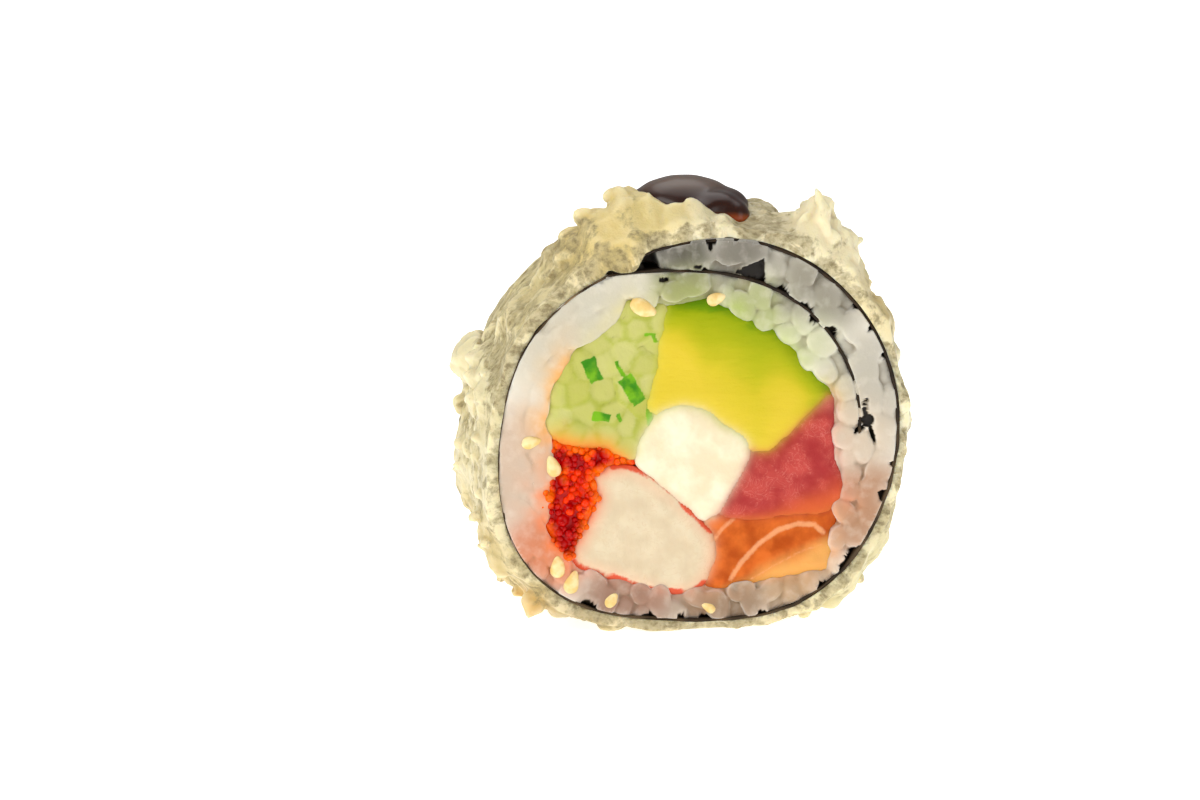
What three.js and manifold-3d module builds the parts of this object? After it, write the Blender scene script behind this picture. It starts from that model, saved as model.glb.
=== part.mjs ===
// One thick slice of a big sushi roll that was dipped in batter and fried. It stands on its side, as it is
// served, with the roll's axis along Y and its two cut faces at the front (-Y) and at the back (+Y).
// A sheet of nori winds once round the rice and laps over itself at the upper right, seven fillings run
// through the whole slice, and a drop of thick dark sauce lies on top. All sizes are millimetres.
import * as THREE from 'three';
import { mergeVertices } from 'three/addons/utils/BufferGeometryUtils.js';
import Module from 'manifold-3d';

const wasm = await Module();
wasm.setup();

// The slice
const LENGTH = 26; // along the roll
const CENTRE_HEIGHT = 26.45; // the roll's middle above the table
const GAP = 0.3; // clearance between neighbours
const FRONT = -LENGTH / 2;
const BACK = LENGTH / 2;
const PAST = 1; // how far a cutting shape runs past the face that it cuts
const CORNER = { share: 0.45, steps: 2, sharpest: 0.5 };
const MERGE_DISTANCE = 1e-4;
const TINY_EDGE = 0.05;

// The roll's outline in the section: a mean radius, and the cosine and sine share of each lobe
const MEAN_RADIUS = 26.05;
const LOBES = [[0, -0.62], [0.61, 0.63], [-0.15, -0.48], [-0.48, 0.1], [0.26, 0.16]];

// The nori sheet, by the angle in degrees that it has wound from the right, counter-clockwise
const NORI_THICKNESS = 0.4;
const NORI_RECESS = 0.3; // of its edges behind the cut faces
const NORI_STEP = 6;
const LAP = { start: -3, level: 60, join: 120, settled: 165, end: 484, depth: 4.4 };
const LAP_HOLLOW = { from: 103, to: 126, depth: 7 }; // the wedge between the turns that the rice leaves empty

// The rice
const RICE_RECESS = 0.9; // of the bed behind the cut faces, which the grains fill
const GRAIN = {
  length: 5.6, width: 2.9, depth: 2.8, uneven: 0.13, lean: 0.9, tip: 0.3,
  spacing: 3.25, margin: 0.8, tries: 6000,
};
const PEBBLE = { sides: 6, rings: 3 };
const SEED = { length: 3.4, width: 1.9, depth: 1.3 };
// Sesame seeds in the front face, as x and z from the roll's middle and the turn of the long axis
const FRONT_SEEDS = [
  [-19.4, 0.7, 95], [-19.6, -6.4, 80], [-16.9, -18.1, 95], [-15, -19.6, 70],
  [-9.8, -21.6, 60], [-3.1, -22.5, 10], [2.6, -22.6, 120], [-6.6, 16.9, -15], [3, 18.3, 30],
];
const BACK_SEEDS = [
  [20.8, -2, 80], [18.5, 8, 60], [9.8, -21.4, 20], [-14, -18.6, 130],
  [-22, 3, 90], [-14.8, 15.4, 45], [2.4, 19.2, 0], [-21, -9.5, 100],
];

// The fillings' outlines in the section, as x and z from the roll's middle. Each is cut back from those
// before it, so that the packed pieces meet along one line. Proud is how far a plain one's ends stand out.
const FILLINGS = {
  cream_cheese: {
    outline: [[-5.4, 2.6], [-2.3, 3.4], [0.3, 2.9], [2.8, 0.7], [6.2, -1.2], [6.5, -3], [4.9, -6.4],
      [1.7, -11.7], [0.2, -11.3], [-3.5, -7.9], [-8.1, -3.9], [-7.8, -1.1]],
    round: 0.9, proud: 0.45,
  },
  crab_stick: {
    outline: [[-13.6, -5.9], [-11.6, -4.7], [-9.1, -4.5], [-3.4, -8.3], [1.6, -13.6], [2, -16.2],
      [0.9, -19.7], [-1.1, -21.2], [-4.5, -21.2], [-16, -17.3], [-16.6, -16.2], [-14.5, -12.4],
      [-12.7, -8.6]],
    round: 0.8, proud: 0.2,
  },
  tuna: {
    outline: [[17.2, 4.6], [17.7, -5.1], [19.5, -7.8], [19.2, -9.8], [16.2, -10.9], [4.5, -11.5],
      [1.5, -10.7], [3.2, -8.3], [6.3, -2.6], [9.3, -3]],
    round: 0.7, proud: 0.3,
  },
  salmon: {
    outline: [[1.4, -10.4], [18, -10.2], [18.2, -12.2], [16.8, -13.6], [17.8, -15.6], [17.2, -18.6],
      [6.2, -20.2], [2.8, -20.7], [0.6, -20], [1.7, -16.1], [1.2, -12.9]],
    round: 0.7, proud: 0.1,
  },
  avocado: {
    outline: [[-4.5, 16], [0.9, 16.8], [5.5, 15.6], [9.6, 12.8], [14.6, 7.6], [17.5, 4.3], [8.6, -3.6],
      [2, -1], [-6.7, 3.2], [-5.8, 7.7]],
    round: 0.9, proud: 0.35,
  },
  roe: {
    outline: [[-19.3, -0.6], [-16, -1.6], [-12.4, -1.8], [-9.3, -3.7], [-11, -5.4], [-13, -7], [-12.4, -8.8],
      [-15.6, -14.8], [-17.2, -17.1], [-19.2, -13.7], [-20.6, -11], [-20.5, -7.4], [-18.7, -5.3]],
    round: 0.5,
  },
  cucumber: {
    outline: [[-9.7, 17.2], [-4.5, 16.2], [-5.6, 7.7], [-6.6, 3.2], [-5.2, 1.9], [-8.3, -3.2], [-12.4, -2],
      [-19, -0.7], [-19.9, 1.8], [-19.2, 5.6], [-17.8, 9.2], [-14.7, 12.1]],
    round: 0.7,
  },
};
const STICK = { reach: 3, groove: 0.3, uneven: 0.5, margin: 0.8, spacing: 2.6, tries: 3000 };
const EGG = { radius: 0.68, sunk: 0.3, uneven: 0.15, spacing: 1.55, margin: 0.5, tries: 3000 };

// The fried batter: crags as angle in degrees, place behind the front face, spread round and along, height
const CRUST = {
  columns: 110, rows: 12, base: 1.25, least: 0.7, inside: NORI_THICKNESS / 2 + GAP,
  rough: 0.7, grain: 3.1, fineGrain: 1.3, rim: 0.75, rimWobble: 0.5,
};
const CRAGS = [
  [112, 3.5, 4, 3.6, 5.4], [104, 6, 3.4, 3.4, 4.4], [121, 6, 3, 4, 2], [97, 2, 3.6, 2.2, 2.6],
  [86, 1.5, 3, 1.8, 1.4], [61, 4, 1.4, 2, 3.4], [56, 4, 4.2, 4, 4.9], [43, 5, 4, 4, 1.8],
  [30, 5, 3.6, 5, 1], [72, 7, 3, 3, 1.2], [163, 13, 2.4, 3, 2.6], [170, 4, 2.6, 2, 2],
  [146, 8, 3, 4, 1.2], [188, 16, 4, 5, 0.8], [208, 4, 4, 4, 1.3], [222, 9, 5, 4, 1.6],
  [310, 4, 5, 3.6, 2], [326, 5, 4, 4, 1.4], [12, 18, 3, 4, 2.2], [27, 22, 3, 2.6, 2.6],
  [44, 20, 3.4, 3, 2.4], [75, 20, 4, 3.4, 1.6], [98, 22, 4, 3, 1], [196, 21, 4, 4, 1.4],
  [350, 21, 3.4, 3, 1.8], [330, 22, 3, 3, 1.8], [232, 20, 4, 4, 1.6], [140, 21, 9, 8, -0.8],
];

// The drop of sauce: overlapping round lobes, as middle and half sizes, before the crust is cut away
const SAUCE_LOBES = [
  { at: [-0.2, -1.5, 27.6], half: [7.2, 6.2, 4.1] },
  { at: [5.2, -3.4, 26.9], half: [2.9, 4.2, 3.3] },
  { at: [-5.6, 0, 27], half: [2.4, 4.2, 2.6] },
];
const SAUCE_SIDES = 14;
const SAUCE_RINGS = 7;

// Looks, by node
const LOOKS = {
  batter_crust: { color: 0xd9cd9a, roughness: 0.6 },
  nori_sheet: { color: 0x14170f, roughness: 0.5 },
  rice: { color: 0xdad9cf, roughness: 0.4 },
  cream_cheese: { color: 0xf7f0d8, roughness: 0.5 },
  crab_stick: { color: 0xecdcc0, roughness: 0.5 },
  tuna: { color: 0xbf4348, roughness: 0.4 },
  salmon: { color: 0xe0782c, roughness: 0.4 },
  avocado: { color: 0xc8cc2a, roughness: 0.5 },
  roe: { color: 0xe02c04, roughness: 0.2 },
  cucumber: { color: 0xb9c66c, roughness: 0.35 },
  sauce_drop: { color: 0x2c120d, roughness: 0.12 },
};

const { clamp, degToRad, lerp, smoothstep } = THREE.MathUtils;

// A repeatable random draw between low and high
let drawn = 20260417;
function draw(low = 0, high = 1) {
  drawn = (Math.imul(drawn, 1664525) + 1013904223) >>> 0;
  return lerp(low, high, drawn / 2 ** 32);
}

// A fixed random value from -1 to 1 at each whole point of space
function latticeValue(x, y, z) {
  const mixed = Math.sin(x * 127.1 + y * 311.7 + z * 74.7) * 43758.5453;
  return 2 * (mixed - Math.floor(mixed)) - 1;
}

// Smooth noise from -1 to 1, blended between the eight whole points round a place
function noise(x, y, z) {
  const [x0, y0, z0] = [Math.floor(x), Math.floor(y), Math.floor(z)];
  const [u, v, w] = [smoothstep(x - x0, 0, 1), smoothstep(y - y0, 0, 1), smoothstep(z - z0, 0, 1)];
  const alongX = (dy, dz) =>
    lerp(latticeValue(x0, y0 + dy, z0 + dz), latticeValue(x0 + 1, y0 + dy, z0 + dz), u);
  return lerp(lerp(alongX(0, 0), alongX(1, 0), v), lerp(alongX(0, 1), alongX(1, 1), v), w);
}

// The roll's outline, which the outer turn of nori follows
function rollRadius(angle) {
  const turn = degToRad(angle);
  return LOBES.reduce(
    (sum, [cosine, sine], i) => sum + cosine * Math.cos((i + 1) * turn) + sine * Math.sin((i + 1) * turn),
    MEAN_RADIUS,
  );
}

// A point of the section at an angle and a distance from the roll's middle
function atAngle(angle, radius) {
  return new THREE.Vector2(Math.cos(degToRad(angle)), Math.sin(degToRad(angle))).multiplyScalar(radius);
}

// The middle of the nori's thickness. The first turn lies under a layer of rice, and comes up to the
// outer turn where the two meet.
function noriRadius(angle) {
  const rise = clamp((angle - LAP.level) / (LAP.join - LAP.level), 0, 1);
  const lap = LAP.depth * (1 - rise * rise);
  const under = (NORI_THICKNESS + GAP) * (1 - smoothstep(angle, LAP.join, LAP.settled));
  return rollRadius(angle) - lap - under;
}

// A band between two radii that follow the angle, from one angle to another
function band(inner, outer, from, to) {
  const count = Math.ceil((to - from) / NORI_STEP);
  const angles = Array.from({ length: count + 1 }, (_, i) => lerp(from, to, i / count));
  const outward = angles.map((angle) => atAngle(angle, outer(angle)));
  const inward = angles.map((angle) => atAngle(angle, inner(angle)));
  return outward.concat(inward.reverse());
}

// A closed outline round the roll at a distance from its outline
function ring(offset) {
  const count = 360 / NORI_STEP;
  return Array.from({ length: count }, (_, i) => atAngle(i * NORI_STEP, rollRadius(i * NORI_STEP) + offset));
}

// A corner outline with each corner rounded by a curve of about that radius
function rounded(corners, radius) {
  const points = corners.map(([x, z]) => new THREE.Vector2(x, z));
  return points.flatMap((corner, i) => {
    const before = points.at(i - 1);
    const after = points[(i + 1) % points.length];
    const towards = (end) => {
      const share = Math.min(radius / corner.distanceTo(end), CORNER.share);
      return corner.clone().lerp(end, share);
    };
    return new THREE.QuadraticBezierCurve(towards(before), corner, towards(after)).getPoints(CORNER.steps);
  });
}

// The outline moved outwards by a distance, along the mean of the two edges at each point
function grown(outline, distance) {
  const turn = THREE.ShapeUtils.area(outline) > 0 ? 1 : -1;
  return outline.map((point, i) => {
    const entry = point.clone().sub(outline.at(i - 1)).normalize();
    const leave = outline[(i + 1) % outline.length].clone().sub(point).normalize();
    const normal = new THREE.Vector2(entry.y + leave.y, -entry.x - leave.x).multiplyScalar(turn);
    const reach = distance / Math.max(CORNER.sharpest, Math.sqrt((1 + entry.dot(leave)) / 2));
    return point.clone().addScaledVector(normal.normalize(), reach);
  });
}

// True if a point of the section lies inside the outline
function holds(outline, point) {
  return outline.reduce((inside, a, i) => {
    const b = outline.at(i - 1);
    const crosses = a.y > point.y !== b.y > point.y;
    return crosses && point.x < a.x + ((point.y - a.y) * (b.x - a.x)) / (b.y - a.y) ? !inside : inside;
  }, false);
}

// The distance from a point to the outline
function distanceTo(outline, point) {
  const nearest = new THREE.Vector3();
  const place = new THREE.Vector3(point.x, point.y, 0);
  return outline.reduce((least, a, i) => {
    const b = outline.at(i - 1);
    new THREE.Line3(new THREE.Vector3(a.x, a.y, 0), new THREE.Vector3(b.x, b.y, 0))
      .closestPointToPoint(place, true, nearest);
    return Math.min(least, nearest.distanceTo(place));
  }, Infinity);
}

// The solid of a closed geometry
function solidOf(geometry) {
  const bare = geometry.clone();
  bare.deleteAttribute('normal');
  bare.deleteAttribute('uv');
  const merged = mergeVertices(bare, MERGE_DISTANCE);
  const vertProperties = merged.attributes.position.array;
  const triVerts = new Uint32Array(merged.index.array);
  return new wasm.Manifold(new wasm.Mesh({ numProp: 3, vertProperties, triVerts }));
}

// The outline carried along the roll, from one place to another
function prism(outline, from = FRONT, to = BACK) {
  const shape = new THREE.Shape(outline);
  const geometry = new THREE.ExtrudeGeometry(shape, { depth: to - from, bevelEnabled: false });
  return solidOf(geometry.rotateX(Math.PI / 2).translate(0, to, 0));
}

// The largest body of a solid, without loose scraps
function largest(solid) {
  return solid.simplify(TINY_EDGE).decompose().sort((a, b) => b.volume() - a.volume())[0];
}

const union = (solids) => wasm.Manifold.union(solids);

// A closed ball with few faces, stretched along its own X, turned about Y and tipped
function pebble(half, turn, tip, at) {
  const ball = new THREE.SphereGeometry(1, PEBBLE.sides, PEBBLE.rings).rotateZ(Math.PI / 2);
  const pose = new THREE.Matrix4().compose(
    new THREE.Vector3(...at),
    new THREE.Quaternion().setFromEuler(new THREE.Euler(0, -turn, tip, 'YXZ')),
    new THREE.Vector3(...half),
  );
  return solidOf(ball.applyMatrix4(pose));
}

// Places in the section that a rule allows, spread at least a spacing apart
function scatter({ spacing, tries }, reach, allows) {
  const placed = [];
  for (let i = 0; i < tries; i++) {
    const point = new THREE.Vector2(draw(-reach, reach), draw(-reach, reach));
    if (allows(point) && placed.every((other) => other.distanceTo(point) >= spacing)) placed.push(point);
  }
  return placed;
}

// The nori sheet
function makeNori() {
  return prism(noriSection(0), FRONT + NORI_RECESS, BACK - NORI_RECESS);
}

// The sheet's coiled section, thicker all round by a clearance
function noriSection(clearance) {
  const half = NORI_THICKNESS / 2 + clearance;
  const ends = 2 * clearance;
  const inner = (angle) => noriRadius(angle) - half;
  const outer = (angle) => noriRadius(angle) + half;
  return band(inner, outer, LAP.start - ends, LAP.end + ends);
}

// The cucumber: sticks side by side, each the part of the section nearest to its own middle
function makeCucumber(outline) {
  const room = grown(outline, STICK.margin);
  const middles = scatter(STICK, MEAN_RADIUS, (point) => holds(room, point));
  const square = [[-1, -1], [1, -1], [1, 1], [-1, 1]].map(([x, z]) =>
    new THREE.Vector2(x, z).multiplyScalar(STICK.reach));
  const sticks = middles.map((middle) => {
    const block = square.map((corner) => corner.clone().add(middle));
    const others = middles.filter((other) => other !== middle);
    const cell = others.reduce((kept, other) => nearer(kept, middle, other), block);
    const [front, back] = [draw(0, STICK.uneven), draw(0, STICK.uneven)];
    return prism(cell, FRONT - front, BACK + back);
  });
  const region = prism(outline, FRONT - PAST, BACK + PAST);
  const core = prism(outline, FRONT + STICK.groove, BACK - STICK.groove);
  return union(sticks).intersect(region).add(core);
}

// The part of a convex cell that is nearer to its own middle than to another, less half a groove
function nearer(cell, middle, other) {
  const away = other.clone().sub(middle);
  const limit = away.length() / 2 - STICK.groove / 2;
  away.normalize();
  const beyond = (point) => point.clone().sub(middle).dot(away) - limit;
  return cell.flatMap((point, i) => {
    const next = cell[(i + 1) % cell.length];
    const [here, there] = [beyond(point), beyond(next)];
    const kept = here <= 0 ? [point] : [];
    if (here * there < 0) kept.push(point.clone().lerp(next, here / (here - there)));
    return kept;
  });
}

// The roe: a bed of tiny eggs, with those at the two cut faces standing out
function makeRoe(outline) {
  const room = grown(outline, -EGG.margin);
  const eggs = [FRONT + EGG.sunk, BACK - EGG.sunk].flatMap((place) =>
    scatter(EGG, MEAN_RADIUS, (point) => holds(room, point)).map(({ x, y: z }) => {
      const egg = new THREE.IcosahedronGeometry(EGG.radius, 0).rotateY(draw(0, Math.PI));
      return solidOf(egg.translate(x, place + draw(-EGG.uneven, EGG.uneven), z));
    }),
  );
  const bed = prism(outline, FRONT + EGG.radius, BACK - EGG.radius);
  return union([bed, ...eggs]).intersect(prism(outline, FRONT - PAST, BACK + PAST));
}

// The rice: one bed that fills what the nori and the fillings leave, with its grains at the cut faces
function makeRice(sections, taken) {
  const inside = ring(-NORI_THICKNESS / 2 - GAP);
  const hollow = band(noriRadius, rollRadius, LAP_HOLLOW.from, LAP_HOLLOW.to);
  const lap = band(noriRadius, noriRadius, LAP.start, LAP.join);
  const clear = (outline, point) => distanceTo(outline, point) > GRAIN.margin;
  const fits = (point) =>
    holds(inside, point) && clear(inside, point) && clear(lap, point) && !holds(hollow, point) &&
    sections.every((section) => !holds(section, point) && clear(section, point));
  const grains = [FRONT, BACK].flatMap((face) =>
    scatter(GRAIN, MEAN_RADIUS, fits).map((point) => {
      const size = () => draw(1 - GRAIN.uneven, 1 + GRAIN.uneven) / 2;
      const half = [GRAIN.length * size(), GRAIN.depth * size(), GRAIN.width * size()];
      const turn = Math.atan2(point.y, point.x) + Math.PI / 2 + draw(-GRAIN.lean, GRAIN.lean);
      const place = face - Math.sign(face) * half[1] * draw(1 - GRAIN.uneven, 1);
      return pebble(half, turn, draw(-GRAIN.tip, GRAIN.tip), [point.x, place, point.y]);
    }),
  );
  const seeds = [[FRONT, FRONT_SEEDS], [BACK, BACK_SEEDS]].flatMap(([face, places]) =>
    places.map(([x, z, turn]) => {
      const half = [SEED.length, SEED.depth, SEED.width].map((size) => size / 2);
      return pebble(half, degToRad(turn), 0, [x, face - Math.sign(face) * (SEED.depth / 3), z]);
    }),
  );
  const bed = prism(inside, FRONT + RICE_RECESS, BACK - RICE_RECESS);
  const within = prism(inside, FRONT - PAST, BACK + PAST);
  const pockets = [
    prism(hollow, FRONT - PAST, FRONT + LAP_HOLLOW.depth),
    prism(hollow, BACK - LAP_HOLLOW.depth, BACK + PAST),
  ];
  const nori = prism(noriSection(GAP), FRONT - PAST, BACK + PAST);
  const filled = union([bed, ...grains, ...seeds]).intersect(within);
  return filled.subtract(union([...taken, nori, ...pockets]));
}

// How thick the batter is at an angle and a place behind the front face: coarse and fine noise, the finer
// the lower, and the crags
function crustThickness(angle, along) {
  const { x, y } = atAngle(angle, MEAN_RADIUS);
  const [rough, fine] = [CRUST.grain, CRUST.fineGrain].map((grain) =>
    noise(x / grain, along / grain, y / grain) * CRUST.rough * (grain / CRUST.grain));
  const lumps = CRAGS.reduce((sum, [middle, place, across, deep, height]) => {
    const round = degToRad(((angle - middle + 540) % 360) - 180) * MEAN_RADIUS;
    return sum + height * Math.exp(-((round / across) ** 2) - ((along - place) / deep) ** 2);
  }, 0);
  return Math.max(CRUST.least, CRUST.base + rough + fine + lumps * (1 + fine));
}

// The crust: a tube round the roll whose outside is cragged and whose foot is flat on the table
function makeCrust(clearance = 0) {
  const { columns, rows } = CRUST;
  const positions = [];
  const push = (angle, radius, y) => {
    const { x, y: z } = atAngle(angle, radius);
    positions.push(x, y, Math.max(z, -CENTRE_HEIGHT));
  };
  for (let i = 0; i < columns; i++) {
    const angle = (360 * i) / columns;
    const inner = rollRadius(angle) + CRUST.inside;
    const front = FRONT + rimWobble(angle, 1) - clearance;
    const back = BACK + rimWobble(angle, 2) + clearance;
    for (let j = 0; j <= rows; j++) {
      const share = j / rows;
      const atRim = j === 0 || j === rows ? CRUST.rim : 1;
      const thickness = crustThickness(angle, share * LENGTH) * atRim;
      push(angle, inner + thickness + clearance, lerp(front, back, share));
    }
    push(angle, inner, back);
    push(angle, inner, front);
  }
  const loop = rows + 3;
  const index = [];
  for (let i = 0; i < columns; i++) {
    for (let j = 0; j < loop; j++) {
      const [here, next] = [i * loop, ((i + 1) % columns) * loop];
      const [near, far] = [j, (j + 1) % loop];
      index.push(here + near, here + far, next + near, next + near, here + far, next + far);
    }
  }
  const geometry = new THREE.BufferGeometry();
  geometry.setAttribute('position', new THREE.Float32BufferAttribute(positions, 3));
  geometry.setIndex(index);
  return solidOf(geometry);
}

// How far the crust's rim stands out of a cut face, or behind it
function rimWobble(angle, side) {
  const { x, y } = atAngle(angle, MEAN_RADIUS / CRUST.grain);
  return CRUST.rimWobble * noise(x, side * MEAN_RADIUS, y);
}

// The drop of sauce, which follows the crust that it lies on
function makeSauce() {
  const lobes = SAUCE_LOBES.map(({ at, half }) =>
    solidOf(new THREE.SphereGeometry(1, SAUCE_SIDES, SAUCE_RINGS).scale(...half).translate(...at)));
  return union(lobes).subtract(makeCrust(GAP)).subtract(prism(ring(CRUST.base)));
}

// The whole slice, standing on the table with its box centred over the origin
const roll = new THREE.Group();

function add(name, solid) {
  const { vertProperties, triVerts } = largest(solid).getMesh();
  const geometry = new THREE.BufferGeometry();
  geometry.setAttribute('position', new THREE.BufferAttribute(vertProperties, 3));
  geometry.setIndex(new THREE.BufferAttribute(triVerts, 1));
  geometry.computeVertexNormals();
  const mesh = new THREE.Mesh(geometry, new THREE.MeshStandardMaterial({ ...LOOKS[name], metalness: 0 }));
  mesh.name = name;
  roll.add(mesh);
}

const RELIEF = { cucumber: makeCucumber, roe: makeRoe };
const sections = [];
const taken = [];
for (const [name, { outline, round, proud }] of Object.entries(FILLINGS)) {
  const section = rounded(outline, round);
  const whole = RELIEF[name]?.(section) ?? prism(section, FRONT - proud, BACK + proud);
  add(name, whole.subtract(union(taken)));
  sections.push(section);
  taken.push(prism(grown(section, GAP), FRONT - PAST, BACK + PAST));
}
add('rice', makeRice(sections, taken));
add('nori_sheet', makeNori());
add('batter_crust', makeCrust());
add('sauce_drop', makeSauce());

const box = new THREE.Box3().setFromObject(roll);
const middle = box.getCenter(new THREE.Vector3());
roll.position.set(-middle.x, -middle.y, -box.min.z);

export default roll;
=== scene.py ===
"""Looks for one thick slice of a batter-fried sushi roll: a cragged pale crust, the nori that winds round
the rice, seven fillings, sesame seeds and a drop of dark sauce, on a white table in soft light."""

import math

import bmesh
import bpy
import numpy as np
from mathutils import Matrix, Vector
from mathutils.bvhtree import BVHTree
from mathutils.kdtree import KDTree


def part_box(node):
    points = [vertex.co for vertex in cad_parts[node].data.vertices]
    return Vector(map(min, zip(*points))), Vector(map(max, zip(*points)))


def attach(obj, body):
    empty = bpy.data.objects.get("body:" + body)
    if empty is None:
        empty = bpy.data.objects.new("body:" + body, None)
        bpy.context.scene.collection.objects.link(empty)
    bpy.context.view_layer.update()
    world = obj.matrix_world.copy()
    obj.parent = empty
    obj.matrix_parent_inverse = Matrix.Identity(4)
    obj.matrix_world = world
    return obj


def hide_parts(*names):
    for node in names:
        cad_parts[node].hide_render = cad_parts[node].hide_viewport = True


bl_info = {
    "name": "Fried Sushi Roll Slice",
    "version": (1, 0, 0),
    "blender": (4, 5, 0),
    "location": "View3D > Sidebar > Sushi Roll",
    "description": "Builds the crust, nori, rice, fillings and sauce of a fried sushi roll slice",
    "category": "Add Mesh",
}

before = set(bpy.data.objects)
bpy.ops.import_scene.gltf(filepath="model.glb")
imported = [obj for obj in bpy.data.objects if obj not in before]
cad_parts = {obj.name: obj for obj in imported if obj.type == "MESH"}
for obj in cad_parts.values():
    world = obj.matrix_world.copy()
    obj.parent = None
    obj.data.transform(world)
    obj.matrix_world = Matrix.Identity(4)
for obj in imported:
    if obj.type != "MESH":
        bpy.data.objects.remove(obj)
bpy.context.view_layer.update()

# All shaping is done in millimetres round the roll's middle: X to the right, Y along the roll, Z up
MM = 0.001
FRONT = -13.0
BACK = 13.0
FOOT = -26.45

# The roll's outline: a mean radius, and the cosine and sine share of each lobe
MEAN_RADIUS = 26.05
LOBES = [(0, -0.62), (0.61, 0.63), (-0.15, -0.48), (-0.48, 0.1), (0.26, 0.16)]

# The nori, by the angle in degrees that it has wound
NORI_HALF = 0.2
NORI_START = -3
NORI_END = 484
LAP_LEVEL = 60
LAP_JOIN = 120
LAP_SETTLED = 165
LAP_DEPTH = 4.4
NORI_CLEARANCE = 0.3

# Distances from the middle along Y: where the long walls end, and where the cut edges begin
WALLS_END = 11.4
EDGE_FROM = 10

# The most triangles that each piece keeps
MOST_TRIANGLES = {
    "batter_shell": 190000, "rice_heap": 180000, "cheese_block": 40000, "crab_surimi": 45000,
    "tuna_cut": 45000, "salmon_cut": 45000, "avocado_slice": 55000, "cucumber_sticks": 80000,
    "roe_bed": 30000,
}


def stepped(value, low, high):
    """A smooth step from 0 at low to 1 at high"""
    share = np.clip((np.asarray(value, float) - low) / (high - low), 0, 1)
    return share * share * (3 - 2 * share)


def roll_radius(degrees):
    """The outline that the outer turn of nori follows"""
    turn = np.radians(degrees)
    radius = np.full(np.shape(turn), MEAN_RADIUS)
    for count, (cosine, sine) in enumerate(LOBES, 1):
        radius = radius + cosine * np.cos(count * turn) + sine * np.sin(count * turn)
    return radius


def nori_radius(degrees):
    """The middle of the nori's thickness"""
    degrees = np.asarray(degrees, float)
    rise = np.clip((degrees - LAP_LEVEL) / (LAP_JOIN - LAP_LEVEL), 0, 1)
    under = (2 * NORI_HALF + NORI_CLEARANCE) * (1 - stepped(degrees, LAP_JOIN, LAP_SETTLED))
    return roll_radius(degrees) - LAP_DEPTH * (1 - rise * rise) - under


def nori_half(degrees, along):
    """Half the thickness of the sheet that is modelled here, thinner at the cut edges on the left"""
    turn = np.asarray(degrees, float) % 360
    left = stepped(turn, 112, 135) * (1 - stepped(turn, 205, 240))
    right = (1 - stepped(turn, 70, 100)) + stepped(turn, 290, 320)
    return NORI_HALF * (1 + (0.2 * right - 0.1 - 0.45 * left) * stepped(np.abs(along), EDGE_FROM, BACK))


def section_point(degrees, radius):
    """The x and z of a place in the section"""
    turn = np.radians(degrees)
    return np.stack([radius * np.cos(turn), radius * np.sin(turn)], -1)


def turned(degrees):
    """The matrix that turns a form in the section, from X towards Z"""
    turn = math.radians(degrees)
    return np.array([[math.cos(turn), 0, -math.sin(turn)], [0, 1, 0], [math.sin(turn), 0, math.cos(turn)]])


def roll_middle():
    """The roll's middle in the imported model, in metres, from where the nori lies"""
    winding = np.linspace(NORI_START, NORI_END, 2000)
    outside = section_point(winding, nori_radius(winding) + NORI_HALF)
    low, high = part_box("nori_sheet")
    centre = (outside.min(0) + outside.max(0)) / 2 * MM
    return Vector(((low.x + high.x) / 2 - centre[0], (low.y + high.y) / 2, (low.z + high.z) / 2 - centre[1]))


MIDDLE = roll_middle()


def polar(points):
    """The angle in degrees and the distance from the roll's axis of points"""
    return np.degrees(np.arctan2(points[:, 2], points[:, 0])) % 360, np.hypot(points[:, 0], points[:, 2])


def cover_over_nori(points):
    """How far points stand out from the nori's outer face"""
    degrees, radius = polar(points)
    return radius - roll_radius(degrees) - NORI_HALF


# Noise and distances

def noise(points, size, seed=0):
    """Smooth noise from -1 to 1, with lumps of a size in millimetres"""
    place = points / size + seed * 17.31
    base = np.floor(place)
    part = place - base
    part = part * part * (3 - 2 * part)
    total = np.zeros(len(points))
    for corner in np.ndindex(2, 2, 2):
        mixed = np.sin((base + corner) @ np.array([127.1, 311.7, 74.7])) * 43758.5453
        value = 2 * (mixed - np.floor(mixed)) - 1
        total += value * np.prod(np.where(corner, part, 1 - part), axis=1)
    return total


def layered_noise(points, size, layers=3, seed=0):
    """Noise with finer and lower layers over it"""
    return sum(noise(points, size / 2 ** i, seed + i) / 2 ** i for i in range(layers))


def wavered(points, amount=0.22):
    """The points strayed a little in the section, alike for all that meet there"""
    strayed = points.copy()
    strayed[:, 0] += amount * layered_noise(points, 2.6, 2, 31)
    strayed[:, 2] += amount * layered_noise(points, 2.6, 2, 47)
    return strayed


def regional(points, spots, base, faint=0.03):
    """A colour that changes softly between places, each with its x, z, reach and colour, over a faint base"""
    total = np.tile(np.array(base), (len(points), 1)) * faint
    weight = np.full(len(points), faint)
    for x, z, reach, colour in spots:
        near = np.exp(-((points[:, 0] - x) ** 2 + (points[:, 2] - z) ** 2) / (0.6 * reach) ** 2)
        total += near[:, None] * np.array(colour)
        weight += near
    return total / weight[:, None]


def distance_to_line(points, line):
    """How far places in the section lie from a line through corners, given as x and z"""
    line = np.asarray(line, float)
    place = points[:, [0, 2]]
    least = np.full(len(points), np.inf)
    for start, end in zip(line[:-1], line[1:]):
        along = end - start
        share = np.clip((place - start) @ along / (along @ along), 0, 1)
        gap = np.linalg.norm(place - start - share[:, None] * along, axis=1)
        least = np.minimum(least, gap)
    return least


def tint(red, green, blue):
    """A colour that is given as it shows on a screen, from 0 to 255, for Blender's own light values"""
    shares = np.array([red, green, blue]) / 255
    linear = np.where(shares <= 0.04045, shares / 12.92, ((shares + 0.055) / 1.055) ** 2.4)
    return tuple(float(v) for v in linear)


# Shaping

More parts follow.
